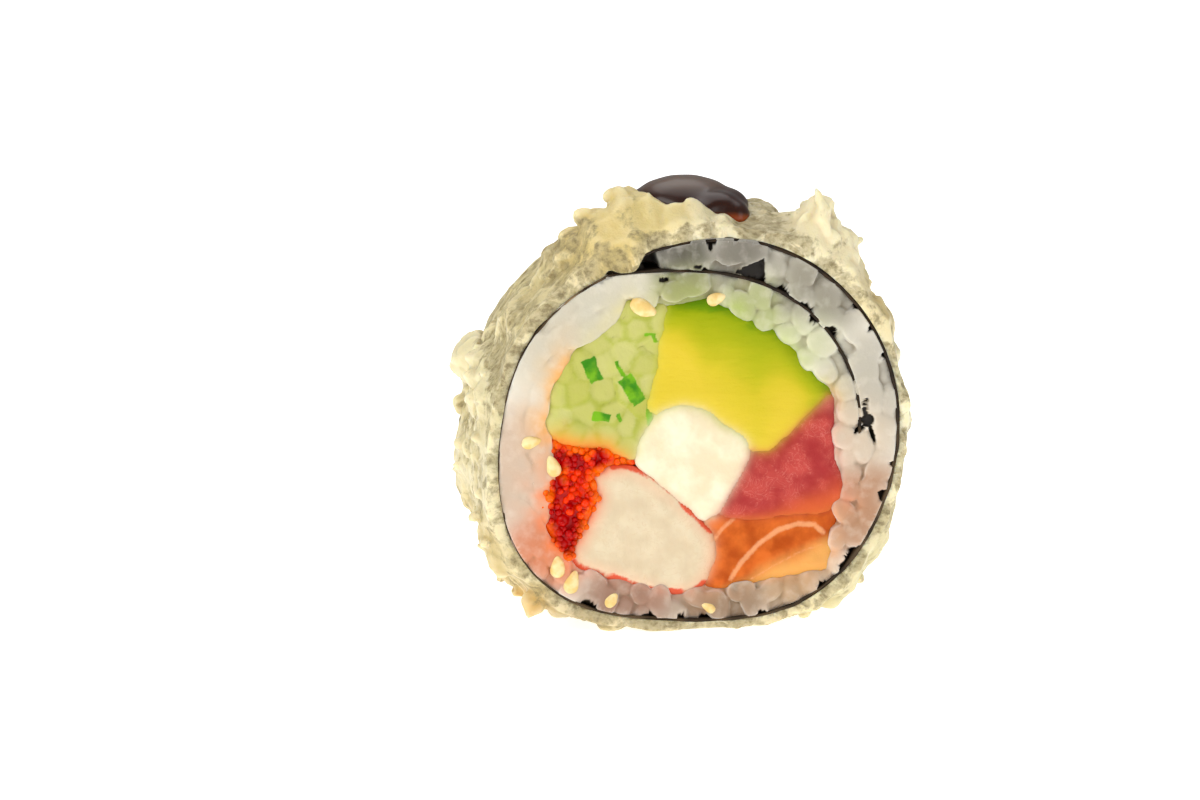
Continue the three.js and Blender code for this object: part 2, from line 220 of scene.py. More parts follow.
class Clay:
    """A mesh that is being shaped, in millimetres round the roll's middle"""

    def __init__(self, name, points=(), faces=()):
        mesh = bpy.data.meshes.new(name)
        mesh.from_pydata(np.asarray(points, float).tolist(), [], [list(map(int, face)) for face in faces])
        self.piece = bpy.data.objects.new(name, mesh)
        bpy.context.scene.collection.objects.link(self.piece)

    @classmethod
    def from_node(cls, node, name):
        """A merged copy of a CAD node"""
        clay = cls(name)
        built = bmesh.new()
        built.from_mesh(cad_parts[node].data)
        bmesh.ops.remove_doubles(built, verts=built.verts, dist=1e-7)
        built.transform(Matrix.Scale(1 / MM, 4) @ Matrix.Translation(-MIDDLE))
        built.to_mesh(clay.mesh)
        built.free()
        clay.mesh.materials.clear()
        return clay

    @property
    def mesh(self):
        return self.piece.data

    @property
    def points(self):
        flat = np.zeros(len(self.mesh.vertices) * 3, np.float32)
        self.mesh.vertices.foreach_get("co", flat)
        return flat.reshape(-1, 3).astype(float)

    @points.setter
    def points(self, places):
        self.mesh.vertices.foreach_set("co", np.asarray(places, np.float32).ravel())
        self.mesh.update()

    @property
    def normals(self):
        flat = np.zeros(len(self.mesh.vertices) * 3, np.float32)
        self.mesh.vertex_normals.foreach_get("vector", flat)
        return flat.reshape(-1, 3).astype(float)

    @property
    def edges(self):
        flat = np.zeros(len(self.mesh.edges) * 2, np.int32)
        self.mesh.edges.foreach_get("vertices", flat)
        return flat.reshape(-1, 2)

    def triangles(self):
        self.mesh.calc_loop_triangles()
        return len(self.mesh.loop_triangles)

    def modify(self, kind, **settings):
        """Puts a modifier on and makes its result the mesh"""
        modifier = self.piece.modifiers.new(kind.title(), kind)
        for key, value in settings.items():
            setattr(modifier, key, value)
        self.piece.data = self.evaluated()
        return self

    def evaluated(self):
        """The mesh that the modifiers make, which are taken off"""
        depsgraph = bpy.context.evaluated_depsgraph_get()
        made = bpy.data.meshes.new_from_object(self.piece.evaluated_get(depsgraph))
        self.piece.modifiers.clear()
        return made

    def fuse(self, voxel):
        """One skin round everything that touches"""
        return self.modify("REMESH", mode="VOXEL", voxel_size=voxel)

    def relax(self, times):
        """Softens the forms"""
        return self.modify("SMOOTH", factor=0.5, iterations=times)

    def thin(self, walls_first=True):
        """At most the triangles that the piece may keep, thinned first on the long walls inside the slice"""
        triangles = MOST_TRIANGLES[self.piece.name]
        has = self.triangles()
        if has > triangles and walls_first:
            points = self.points
            inside = (np.abs(points[:, 1]) < WALLS_END) & (cover_over_nori(points) < 0.2)
            walls = self.piece.vertex_groups.new(name="walls")
            walls.add(np.flatnonzero(inside).tolist(), 1.0, "REPLACE")
            self.modify("DECIMATE", ratio=triangles / has, vertex_group="walls", vertex_group_factor=4.0)
            self.piece.vertex_groups.clear()
        left = self.triangles()
        if left > triangles:
            self.modify("DECIMATE", ratio=triangles / left)
        return self

    def push(self, distance):
        """Moves each point out along its normal"""
        self.points = self.points + self.normals * np.asarray(distance)[..., None]
        return self

    def add(self, *others):
        """Takes other clays in, without fusing them"""
        built = bmesh.new()
        for clay in (self, *others):
            built.from_mesh(clay.mesh)
        built.to_mesh(self.mesh)
        built.free()
        for clay in others:
            bpy.data.objects.remove(clay.piece)
        return self

    def hollows(self, rounds=12):
        """How deep each point lies in a hollow, below 0 on a peak, in millimetres"""
        points = self.points
        edges = self.edges
        count = np.bincount(edges.ravel(), minlength=len(points)).clip(1)[:, None]
        smooth = points.copy()
        for _ in range(rounds):
            total = np.zeros_like(smooth)
            np.add.at(total, edges[:, 0], smooth[edges[:, 1]])
            np.add.at(total, edges[:, 1], smooth[edges[:, 0]])
            smooth = total / count
        return ((smooth - points) * self.normals).sum(1)

    def store(self, name, values):
        """Keeps a number or a colour at each point for the material"""
        values = np.asarray(values, np.float32)
        if values.ndim == 1:
            attribute = self.mesh.attributes.new(name, "FLOAT", "POINT")
            attribute.data.foreach_set("value", values)
        else:
            attribute = self.mesh.attributes.new(name, "FLOAT_COLOR", "POINT")
            full = np.concatenate([values, np.ones((len(values), 1), np.float32)], 1)
            attribute.data.foreach_set("color", full.ravel())
        return self

    def finish(self, material, slot, *nodes):
        """Puts the piece in its place on the body, with its material and the nodes that it stands for"""
        self.mesh.transform(Matrix.Translation(MIDDLE) @ Matrix.Scale(MM, 4))
        self.mesh.materials.clear()
        self.mesh.materials.append(material)
        self.mesh.polygons.foreach_set("use_smooth", [True] * len(self.mesh.polygons))
        self.mesh.update()
        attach(self.piece, "root")
        if nodes:
            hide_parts(*nodes)


def ball(name, middle, half, rings=10):
    """A closed ball with its poles along X, stretched to half sizes, and in the same order each run"""
    sides = 2 * rings
    step = math.pi / rings
    down, about = np.meshgrid(np.arange(1, rings) * step, np.arange(sides) * step, indexing="ij")
    grid = np.stack([np.cos(down), np.sin(down) * np.cos(about), np.sin(down) * np.sin(about)], -1)
    points = np.concatenate([grid.reshape(-1, 3), [(1, 0, 0), (-1, 0, 0)]])
    top, bottom, last = len(points) - 2, len(points) - 1, (rings - 2) * sides
    faces = []
    for this in range(sides):
        following = (this + 1) % sides
        faces.append((top, this, following))
        for row in range(0, last, sides):
            faces.append((row + this, row + sides + this, row + sides + following, row + following))
        faces.append((bottom, last + following, last + this))
    return Clay(name, points * np.asarray(half) + np.asarray(middle), faces)


def measured(node, measure):
    """What a function finds on a merged copy of a CAD node, in millimetres round the roll's middle"""
    clay = Clay.from_node(node, "measured")
    built = bmesh.new()
    built.from_mesh(clay.mesh)
    built.normal_update()
    found = measure(built)
    built.free()
    bpy.data.objects.remove(clay.piece)
    return found


class Section:
    """What shows at each place of the front cut face, on a fine grid, and how far each node lies from it"""

    def __init__(self, step=0.25):
        points, faces, owners = [], [], []
        for name in sorted(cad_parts):
            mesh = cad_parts[name].data
            start = len(points)
            points += [(vertex.co - MIDDLE) / MM for vertex in mesh.vertices]
            faces += [[start + i for i in polygon.vertices] for polygon in mesh.polygons]
            owners += [name] * len(mesh.polygons)
        tree = BVHTree.FromPolygons(points, faces)
        self.step = step
        self.reach = 28.0
        self.count = int(2 * self.reach / step) + 1
        self.shown = np.full((self.count, self.count), "", dtype="U16")
        self.maps = {}
        places = np.linspace(-self.reach, self.reach, self.count)
        before_face, along, depth = -30, Vector((0, 1, 0)), 20
        for i, x in enumerate(places):
            for j, z in enumerate(places):
                hit, _, index, _ = tree.ray_cast(Vector((x, before_face, z)), along, depth)
                if hit is not None:
                    self.shown[i, j] = owners[index]

    def distance(self, points, name):
        """How far points lie, in the section, from the nearest place where a node shows"""
        if name not in self.maps:
            self.maps[name] = self.distance_map(self.shown == name)
        limit = self.reach - 2 * self.step
        x, z = ((np.clip(points[:, axis], -limit, limit) + self.reach) / self.step for axis in (0, 2))
        i, j = np.floor(x).astype(int), np.floor(z).astype(int)
        u, v = x - i, z - j
        table = self.maps[name]
        low = table[i, j] * (1 - u) + table[i + 1, j] * u
        high = table[i, j + 1] * (1 - u) + table[i + 1, j + 1] * u
        return low * (1 - v) + high * v

    def distance_from_edge(self, points, name):
        """How deep points lie within what a node shows, 0 outside it"""
        key = name + "_edge"
        if key not in self.maps:
            self.maps[key] = self.distance_map(self.shown != name)
        return self.distance(points, key)

    def distance_map(self, there):
        """The distance of each grid place from the nearest one of a set"""
        far = 99.0
        table = np.where(there, 0.0, far)
        steps = [(i, j) for i in (-2, -1, 0, 1, 2) for j in (-2, -1, 0, 1, 2) if i or j]
        width = self.count
        for _ in range(width):
            before = table.copy()
            for i, j in steps:
                moved = np.full_like(table, far)
                into = (slice(max(i, 0), width + min(i, 0)), slice(max(j, 0), width + min(j, 0)))
                out = (slice(max(-i, 0), width + min(-i, 0)), slice(max(-j, 0), width + min(-j, 0)))
                moved[into] = table[out] + math.hypot(i, j) * self.step
                table = np.minimum(table, moved)
            if np.array_equal(before, table):
                break
        return table


SECTION = Section()


# Node trees

class Wire:
    """A socket of a node tree, with the arithmetic that the trees use"""

    def __init__(self, graph, socket):
        self.graph = graph
        self.socket = socket

    def maths(self, operation, *values):
        return self.graph.node("ShaderNodeMath", {"operation": operation}, values)

    def __add__(self, other):
        return self.maths("ADD", self, other)

    def __sub__(self, other):
        return self.maths("SUBTRACT", self, other)

    def __mul__(self, other):
        return self.maths("MULTIPLY", self, other)

    def __truediv__(self, other):
        return self.maths("DIVIDE", self, other)

    def __rsub__(self, other):
        return self.maths("SUBTRACT", other, self)

    def __rtruediv__(self, other):
        return self.maths("DIVIDE", other, self)

    __radd__ = __add__
    __rmul__ = __mul__

    def absolute(self):
        return self.maths("ABSOLUTE", self)

    def clipped(self):
        return self.graph.node("ShaderNodeClamp", {}, [self])

    def stepped(self, low, high):
        """A smooth step from 0 at low to 1 at high"""
        settings = {"interpolation_type": "SMOOTHSTEP"}
        return self.graph.node("ShaderNodeMapRange", settings, {0: self, 1: low, 2: high})


class Graph:
    """A node tree and the one way in which nodes are added to it"""

    def __init__(self, tree):
        self.tree = tree

    def node(self, kind, settings=None, values=(), output=0):
        """Adds a node: its settings first, then the values or links of its sockets"""
        made = self.tree.nodes.new(kind)
        for key, value in (settings or {}).items():
            if key == "stops":
                self.fill_ramp(made.color_ramp, value)
            else:
                setattr(made, key, value)
        for key, value in values.items() if isinstance(values, dict) else enumerate(values):
            if isinstance(value, Wire):
                self.tree.links.new(value.socket, made.inputs[key])
            elif value is not None:
                made.inputs[key].default_value = value
        return Wire(self, made.outputs[output]) if made.outputs else made

    @staticmethod
    def fill_ramp(ramp, stops):
        for index, (place, colour) in enumerate(stops):
            if index < 2:
                stop = ramp.elements[index]
                stop.position = place
            else:
                stop = ramp.elements.new(place)
            stop.color = (*colour, 1)


class Paint(Graph):
    """A material on Object coordinates, in millimetres"""

    def __init__(self, name):
        self.material = bpy.data.materials.new(name)
        self.material.use_nodes = True
        self.material.node_tree.nodes.clear()
        super().__init__(self.material.node_tree)
        place = self.node("ShaderNodeTexCoord", output="Object")
        self.place = self.node("ShaderNodeVectorMath", {"operation": "SCALE"}, {0: place, 3: 1 / MM})

    def stretched(self, x, y, z):
        """The place with each axis drawn out, so that a pattern runs along it"""
        scale = (1 / x, 1 / y, 1 / z)
        return self.node("ShaderNodeVectorMath", {"operation": "MULTIPLY"}, [self.place, scale])

    def cloud(self, size, detail=2.0, roughness=0.5, place=None, distortion=0.0):
        """Soft noise from 0 to 1 with lumps of a size"""
        values = {
            "Vector": place or self.place, "Scale": 1 / size, "Detail": detail,
            "Roughness": roughness, "Distortion": distortion,
        }
        return self.node("ShaderNodeTexNoise", {}, values)

    def number(self, name):
        """A number that was kept on the mesh"""
        return self.node("ShaderNodeAttribute", {"attribute_name": name}, output="Fac")

    def colour(self, name):
        """A colour that was kept on the mesh"""
        return self.node("ShaderNodeAttribute", {"attribute_name": name}, output="Color")

    def ramp(self, factor, *stops):
        return self.node("ShaderNodeValToRGB", {"stops": stops}, [factor])

    def mix(self, factor, first, second, way="MIX"):
        """Two colours mixed, each a wire or three light values"""
        first, second = (value if isinstance(value, Wire) else (*value, 1) for value in (first, second))
        settings = {"data_type": "RGBA", "blend_type": way}
        return self.node("ShaderNodeMix", settings, {0: factor, 6: first, 7: second}, output=2)

    def running(self, colour):
        """The colour with what runs in from beside the piece"""
        return self.mix(self.number("share"), colour, self.colour("runs"))

    def surface(self, colour, roughness, reliefs, glow=None, **constants):
        """Ends the material: reliefs are heights from 0 to 1 with what they amount to in millimetres, and
        glow is the weight, the share of each colour and the depth in millimetres of light from within"""
        if glow:
            weight, shares, depth = glow
            constants.update(subsurface_weight=weight, subsurface_radius=shares, subsurface_scale=depth * MM)
        bump = None
        for height, amount in reliefs:
            values = {"Height": height, "Distance": amount * MM, "Strength": 1.0, "Normal": bump}
            bump = self.node("ShaderNodeBump", {}, values)
        values = {"Base Color": colour, "Roughness": roughness, "Normal": bump}
        for key, value in constants.items():
            values[key.replace("_", " ").title().replace("Ior", "IOR")] = value
        shader = self.node("ShaderNodeBsdfPrincipled", {}, values)
        self.node("ShaderNodeOutputMaterial", {}, {"Surface": shader})
        return self.material


class Growth(Graph):
    """A geometry tree with named inputs, which grows one clay out of another"""

    KINDS = {float: "NodeSocketFloat", int: "NodeSocketInt", bpy.types.Material: "NodeSocketMaterial"}

    def __init__(self, name, **values):
        super().__init__(bpy.data.node_groups.new(name, "GeometryNodeTree"))
        self.values = values
        self.tree.interface.new_socket("Geometry", in_out="INPUT", socket_type="NodeSocketGeometry")
        self.tree.interface.new_socket("Geometry", in_out="OUTPUT", socket_type="NodeSocketGeometry")
        self.keys = {}
        for key, value in values.items():
            label = key.replace("_", " ").title()
            made = self.tree.interface.new_socket(label, in_out="INPUT", socket_type=self.KINDS[type(value)])
            self.keys[key] = (made.identifier, label)
        self.entry = self.tree.nodes.new("NodeGroupInput")

    def input(self, key=None):
        return Wire(self, self.entry.outputs[self.keys[key][1] if key else "Geometry"])

    def named(self, name):
        return self.node("GeometryNodeInputNamedAttribute", {"data_type": "FLOAT"}, {"Name": name})

    def random(self, low, high, seed, kind="FLOAT"):
        lowest, highest, drawn = {"FLOAT": (2, 3, 1), "FLOAT_VECTOR": (0, 1, 0)}[kind]
        values = {lowest: low, highest: high, "Seed": seed}
        return self.node("FunctionNodeRandomValue", {"data_type": kind}, values, output=drawn)

    def scattered(self, densest, share, selection=None):
        """Points on the faces, no two of them nearer than the spacing"""
        values = {
            "Mesh": self.input(), "Selection": selection, "Distance Min": self.input("spacing"),
            "Density Max": densest, "Density Factor": self.named(share), "Seed": self.input("seed"),
        }
        return self.node("GeometryNodeDistributePointsOnFaces", {"distribute_method": "POISSON"}, values)

    def copies(self, points, form, **values):
        """A form at each point"""
        named = {key.title(): value for key, value in values.items()}
        return self.node("GeometryNodeInstanceOnPoints", {}, {"Points": points, "Instance": form, **named})

    def run(self, clay, name, geometry):
        """Ends the tree with real meshes and their material, and runs it"""
        real = self.node("GeometryNodeRealizeInstances", {}, [geometry])
        material = self.input("material")
        dressed = self.node("GeometryNodeSetMaterial", {}, {"Geometry": real, "Material": material})
        self.node("NodeGroupOutput", {}, [dressed])
        modifier = clay.piece.modifiers.new(name, "NODES")
        modifier.node_group = self.tree
        for key, value in self.values.items():
            modifier[self.keys[key][0]] = value
        made = Clay(name)
        made.piece.data = clay.evaluated()
        return made


# Settings

def size_property(name, description, millimetres):
    return bpy.props.FloatProperty(
        name=name, description=description, default=millimetres * MM, min=0.0, unit="LENGTH", precision=5)


def colour_property(name, description, red, green, blue):
    return bpy.props.FloatVectorProperty(
        name=name, description=description, default=tint(red, green, blue), subtype="COLOR",
        size=3, min=0.0, max=1.0)


class BatterSettings(bpy.types.PropertyGroup):
    detail: size_property("Detail", "Smallest form in the fried batter", 0.27)
    rough: size_property("Roughness", "Height of the folds in the batter", 0.55)
    # The high batter colour also paints highlight on the crests, and the low batter colour paints shade in
    # the hollows
    thick: colour_property("High Batter", "Colour of the batter's high folds", 246, 236, 200)
    middling: colour_property("Low Batter", "Colour in the batter's hollows", 206, 184, 122)
    thin: colour_property("Thin Batter", "Colour where the nori shows through the batter", 146, 132, 92)


class NoriSettings(bpy.types.PropertyGroup):
    waviness: size_property("Waviness", "How far the sheet strays from its curve", 0.16)
    colour: colour_property("Nori", "Colour of the seaweed sheet", 30, 22, 13)


class RiceSettings(bpy.types.PropertyGroup):
    length: size_property("Grain Length", "Length of a cooked grain", 4.8)
    width: size_property("Grain Width", "Width of a cooked grain", 2.8)
    spacing: size_property("Spacing", "Least distance between the middles of two grains", 2.0)
    colour: colour_property("Rice", "Colour of rice that no filling has stained", 226, 220, 205)
    seed: bpy.props.IntProperty(name="Seed", description="Which random draw places the grains", default=11)


class SesameSettings(bpy.types.PropertyGroup):
    length: size_property("Length", "Length of a sesame seed", 2.7)
    colour: colour_property("Sesame", "Colour of the sesame seeds", 236, 200, 120)


class FillingSettings(bpy.types.PropertyGroup):
    detail: size_property("Detail", "Smallest form in the fillings", 0.34)
    cheese: colour_property("Cream Cheese", "Colour of the cream cheese", 234, 220, 186)
    crab: colour_property("Crab Stick", "Colour of the crab stick", 216, 198, 166)
    tuna: colour_property("Tuna", "Colour of the tuna", 168, 50, 50)
    salmon: colour_property("Salmon", "Colour of the salmon", 180, 76, 10)
    avocado_rim: colour_property("Avocado Rim", "Colour next to the avocado's skin", 104, 144, 0)
    avocado_heart: colour_property("Avocado Heart", "Colour next to the avocado's stone", 220, 196, 54)
    cucumber: colour_property("Cucumber", "Colour of the cucumber's flesh", 184, 184, 84)
    cucumber_skin: colour_property("Cucumber Skin", "Colour of the cucumber's skin", 56, 136, 2)


class RoeSettings(bpy.types.PropertyGroup):
    egg: size_property("Egg", "Diameter of an egg", 0.98)
    spacing: size_property("Spacing", "Least distance between two eggs", 0.7)
    colour: colour_property("Roe", "Colour of most of the eggs", 252, 58, 2)
    seed: bpy.props.IntProperty(name="Seed", description="Which random draw places the eggs", default=5)


class SauceSettings(bpy.types.PropertyGroup):
    detail: size_property("Detail", "Smallest form in the drop of sauce", 0.25)
    colour: colour_property("Sauce", "Colour of the thick sauce", 48, 20, 9)
    edge: colour_property("Thin Sauce", "Colour where the sauce is thin", 150, 66, 16)


class StageSettings(bpy.types.PropertyGroup):
    lens: bpy.props.FloatProperty(
        name="Lens", description="Focal length of the camera", default=200.0, unit="CAMERA")
    table: colour_property("Table", "Colour of the table", 250, 250, 250)


class RollSettings(bpy.types.PropertyGroup):
    batter: bpy.props.PointerProperty(type=BatterSettings)
    nori: bpy.props.PointerProperty(type=NoriSettings)
    rice: bpy.props.PointerProperty(type=RiceSettings)
    sesame: bpy.props.PointerProperty(type=SesameSettings)
    filling: bpy.props.PointerProperty(type=FillingSettings)
    roe: bpy.props.PointerProperty(type=RoeSettings)
    sauce: bpy.props.PointerProperty(type=SauceSettings)
    stage: bpy.props.PointerProperty(type=StageSettings)


# The batter

# Flakes that stand off the crust: angle, place behind the front, foot above the nori, half length
# outwards, half width round, half depth along, and the lean in degrees
FLAKES = [
    (59.0, 1.8, 5.6, 4.2, 1.1, 1.2, 43), (56.0, 2.6, 3.4, 2.6, 2.1, 1.7, 36),
    (53.5, 3.0, 4.2, 2.6, 1.5, 1.5, 30), (62.5, 3.0, 3.2, 2.0, 1.9, 1.8, 30),
    (50.0, 2.6, 3.2, 2.2, 1.3, 1.6, 10), (100.0, 2.4, 1.7, 1.8, 1.8, 1.6, 20),
    (110.5, 4.4, 3.5, 2.6, 2.2, 2.6, 0), (113.5, 3.2, 3.3, 2.8, 2.2, 2.2, -14),
    (116.5, 5.0, 3.9, 2.7, 3.2, 3.0, 0), (122.5, 6.0, 3.4, 2.6, 3.4, 3.0, 0),
    (97.0, 1.2, 1.8, 1.8, 2.6, 1.4, 10), (90.5, 1.2, 1.7, 1.5, 2.2, 1.3, 0),
    (84.0, 1.4, 1.0, 1.2, 1.3, 1.2, 0), (77.5, 1.8, 0.8, 1.1, 2.4, 1.5, 0),
    (79.0, 11.0, 2.4, 1.9, 3.8, 4.8, 0), (70.5, 10.0, 2.3, 1.8, 3.2, 4.2, 0),
    (167.0, 12.0, 1.6, 2.2, 1.9, 3.2, 10), (174.0, 9.0, 1.4, 1.7, 1.7, 2.2, -20),
    (214.0, 3.0, 1.6, 1.8, 2.4, 1.8, 30), (224.0, 4.0, 1.2, 1.6, 2.6, 1.8, 0),
    (309.0, 3.0, 1.6, 1.9, 3.0, 2.0, -30), (322.0, 3.6, 1.2, 1.5, 2.0, 1.8, 0),
    (28.0, 2.6, 1.0, 1.6, 1.5, 1.6, 20), (40.0, 2.4, 1.6, 1.9, 1.4, 1.5, -12),
    (109.0, 1.0, 1.6, 2.0, 2.4, 1.5, 10), (113.5, 0.7, 0.9, 1.5, 2.0, 1.2, 0),
    (119.0, 2.4, 1.6, 2.0, 2.4, 2.0, 0), (165.0, 19.5, 2.4, 2.6, 3.4, 3.0, 0),
    (158.0, 16.0, 1.2, 1.6, 2.6, 2.4, 0), (229.0, 4.5, 1.4, 1.9, 2.8, 2.2, 20),
    (314.0, 2.2, 1.2, 1.8, 3.6, 1.6, 0), (46.0, 2.4, 2.2, 2.0, 1.4, 1.3, 20),
    (42.0, 3.5, 1.6, 1.8, 1.6, 1.5, 8), (128.0, 8.0, 2.6, 2.5, 3.8, 3.0, 6),
    (136.0, 8.2, 1.1, 1.8, 3.2, 1.4, 10), (226.0, 1.8, 3.0, 1.9, 1.5, 1.3, 25),
    (33.5, 14.5, 0.3, 0.75, 3.6, 3.8, 0), (22.0, 16.5, 0.3, 0.7, 3.2, 3.8, 0),
    (237.0, 2.4, 0.7, 1.7, 2.8, 2.0, 0), (244.0, 2.2, 0.9, 1.5, 2.8, 1.8, 0),
    (232.0, 3.0, 1.2, 1.5, 2.4, 2.0, 0),
]

# The crust's tone by region: x, z, reach and colour
CRUST_TONES = [
    (-12, 28, 7, tint(212, 190, 120)), (-6, 29, 5, tint(216, 198, 136)),
    (-23, 19, 7, tint(206, 192, 142)), (-29, 9, 7, tint(220, 210, 168)),
    (-29, -4, 7, tint(210, 198, 154)), (-24, -18, 6, tint(200, 180, 124)),
    (-17, -24, 5, tint(180, 160, 112)), (0, -27, 9, tint(180, 168, 132)),
    (20, -20, 8, tint(206, 196, 148)), (27, 0, 9, tint(222, 215, 178)), (18, 27, 8, tint(236, 225, 187)),
    (9, 26.5, 5, tint(192, 180, 145)), (2, 27.5, 4, tint(216, 205, 166)),
    (-22, -22.6, 3, tint(206, 160, 60)),
]

# Places where the crust is thin and dark: x, z, reach and strength
CRUST_SMUDGES = [
    (-14.1, 26.2, 1.5, 0.9), (-18.3, 23.4, 2.2, 1.0), (-15.7, 24.2, 1.9, 1.0), (-12.9, 24.8, 1.5, 0.8),
    (-20.4, 21.9, 1.9, 0.8), (-25.1, 15.0, 1.8, 0.6), (-20.6, 14.8, 1.5, 1.0), (-25.2, 8.7, 2.3, 0.9),
    (-22.8, 9.2, 1.3, 1.1), (-25.8, 4.2, 0.8, 0.9), (13.2, 23.0, 0.8, 0.8), (17.2, 21.0, 1.0, 0.8),
    (-2.0, 26.2, 1.1, 0.9), (-5.6, 25.2, 1.3, 0.9), (1.4, 25.7, 0.9, 0.9), (10.5, 28.6, 3.0, 0.6),
    (6.5, 27.0, 2.2, 0.5), (-26.0, -5.0, 1.0, 0.7), (-22.5, -16.5, 1.6, 0.5), (-14.0, -24.4, 1.6, 0.7),
    (-7.0, -25.6, 1.6, 0.7), (24.6, -13.0, 1.2, 0.6), (-28.0, 18.0, 2.4, 0.6), (-11.0, 22.6, 1.0, 0.9),
]


def make_flakes():
    """Pointed lumps of batter, turned out from the roll"""
    flakes = []
    for count, (degrees, along, foot, length, width, depth, lean) in enumerate(FLAKES):
        x, z = section_point(degrees, float(roll_radius(degrees)) + NORI_HALF + foot)
        flake = ball(f"flake_{count}", (0, 0, 0), (length, depth, width), rings=14)
        points = flake.points
        points[:, 1:] *= (1 - 0.45 * stepped(points[:, 0] / length, -0.2, 1))[:, None]
        points = points @ turned(degrees + lean).T + (x, FRONT + along, z)
        flake.points = points
        flake.push(0.55 * layered_noise(points, 2.2, 3, seed=count))
        flakes.append(flake)
    return flakes


def make_crumbs(shell, material):
    """Small crumbs of batter on the thick parts of the crust"""
    growth = Growth("crumbs_on_batter", spacing=3.6, crumb=1.0, seed=3, material=material)
    crumb = growth.node("GeometryNodeMeshIcoSphere", {}, {"Radius": growth.input("crumb"), "Subdivisions": 2})
    seed = growth.input("seed")
    rotation = growth.random((0, 0, 0), (6.28, 6.28, 6.28), seed, "FLOAT_VECTOR")
    scale = growth.random((0.3, 0.8, 0.5), (0.7, 1.9, 1.5), seed, "FLOAT_VECTOR")
    return growth.run(shell, "crumbs", growth.copies(
        growth.scattered(1.5, "craggy"), crumb, rotation=rotation, scale=scale))


def paint_batter(settings):
    """Fried batter: pale and waxy where it is thick, mottled grey-green where the nori shows through it, with
    painted highlight on its crests and painted shade in its hollows
    """
    paint = Paint("fried_batter")
    patches = paint.cloud(4.0, 3, 0.6)
    fine = paint.cloud(0.8, 4, 0.65)
    specks = paint.cloud(0.6, 3, 0.7, paint.stretched(2.0, 1.0, 1.6))
    thin = paint.number("thin")
    hollow = paint.number("hollow")
    tone = paint.mix((patches - 0.35).clipped() * 0.6, paint.colour("tone"), settings.thick)
    # Painted highlight: the crests are mixed towards the high batter colour
    tone = paint.mix((hollow * -1.5).clipped() * 0.5, tone, settings.thick)
    # Painted shade: the hollows are mixed towards the low batter colour
    tone = paint.mix((hollow * 1.5).clipped() * 0.5, tone, settings.middling)
    streaks = paint.cloud(1.3, 4, 0.65, paint.stretched(2.6, 1.0, 2.6), 0.8)
    smudges = paint.cloud(2.4, 4, 0.62, None, 0.6)
    mask = (smudges * 0.6 + streaks * 0.4 + thin * 0.12 + paint.number("smudge") * 0.22).stepped(0.54, 0.67)
    # The veil is painted deeper in the hollows of thin batter, as painted shade
    veil = mask * (0.5 + specks.stepped(0.35, 0.65) * 0.5) + (hollow * thin).clipped() * 0.5
    colour = paint.mix(veil.clipped() * 0.85, tone, settings.thin)
    dark = specks.stepped(0.52, 0.7) * mask
    colour = paint.mix(dark * 0.4, colour, tint(100, 84, 50))
    roughness = 0.36 + (fine - 0.5) * 0.2 + mask * 0.2
    reliefs = [(fine, 0.16), (specks, 0.07)]
    return paint.surface(
        colour, roughness, reliefs, glow=(0.6, (1.0, 0.8, 0.45), 1.3), specular_ior_level=0.35)


def smudge_at(points):
    """How much each point lies in one of the thin, dark places of the crust"""
    most = np.zeros(len(points))
    for x, z, reach, strength in CRUST_SMUDGES:
        away = ((points[:, 0] - x) ** 2 + (points[:, 2] - z) ** 2) / reach ** 2
        most = np.maximum(most, strength * np.exp(-away))
    return most * (1 - 0.6 * stepped(points[:, 1], -4, 4))


def crust_folds(points):
    """Folds of the crust from -1 to 1: round the roll on its side, softer and outwards near the cut faces"""
    strayed = points + 1.3 * np.stack([noise(points, 3.6, seed) for seed in (61, 62, 63)], 1)
    hoops = 1 - 2 * np.abs(noise(strayed * (0.32, 1, 0.32), 1.7, 3)) * 1.2
    outward = strayed.copy()
    outward[:, [0, 2]] *= (MEAN_RADIUS / np.hypot(strayed[:, 0], strayed[:, 2]))[:, None]
    flutes = 0.7 * noise(outward * (1, 0.4, 1), 2.2, 4)
    at_rim = stepped(np.abs(points[:, 1]), 7.5, 11.5)
    return hoops + (flutes - hoops) * at_rim


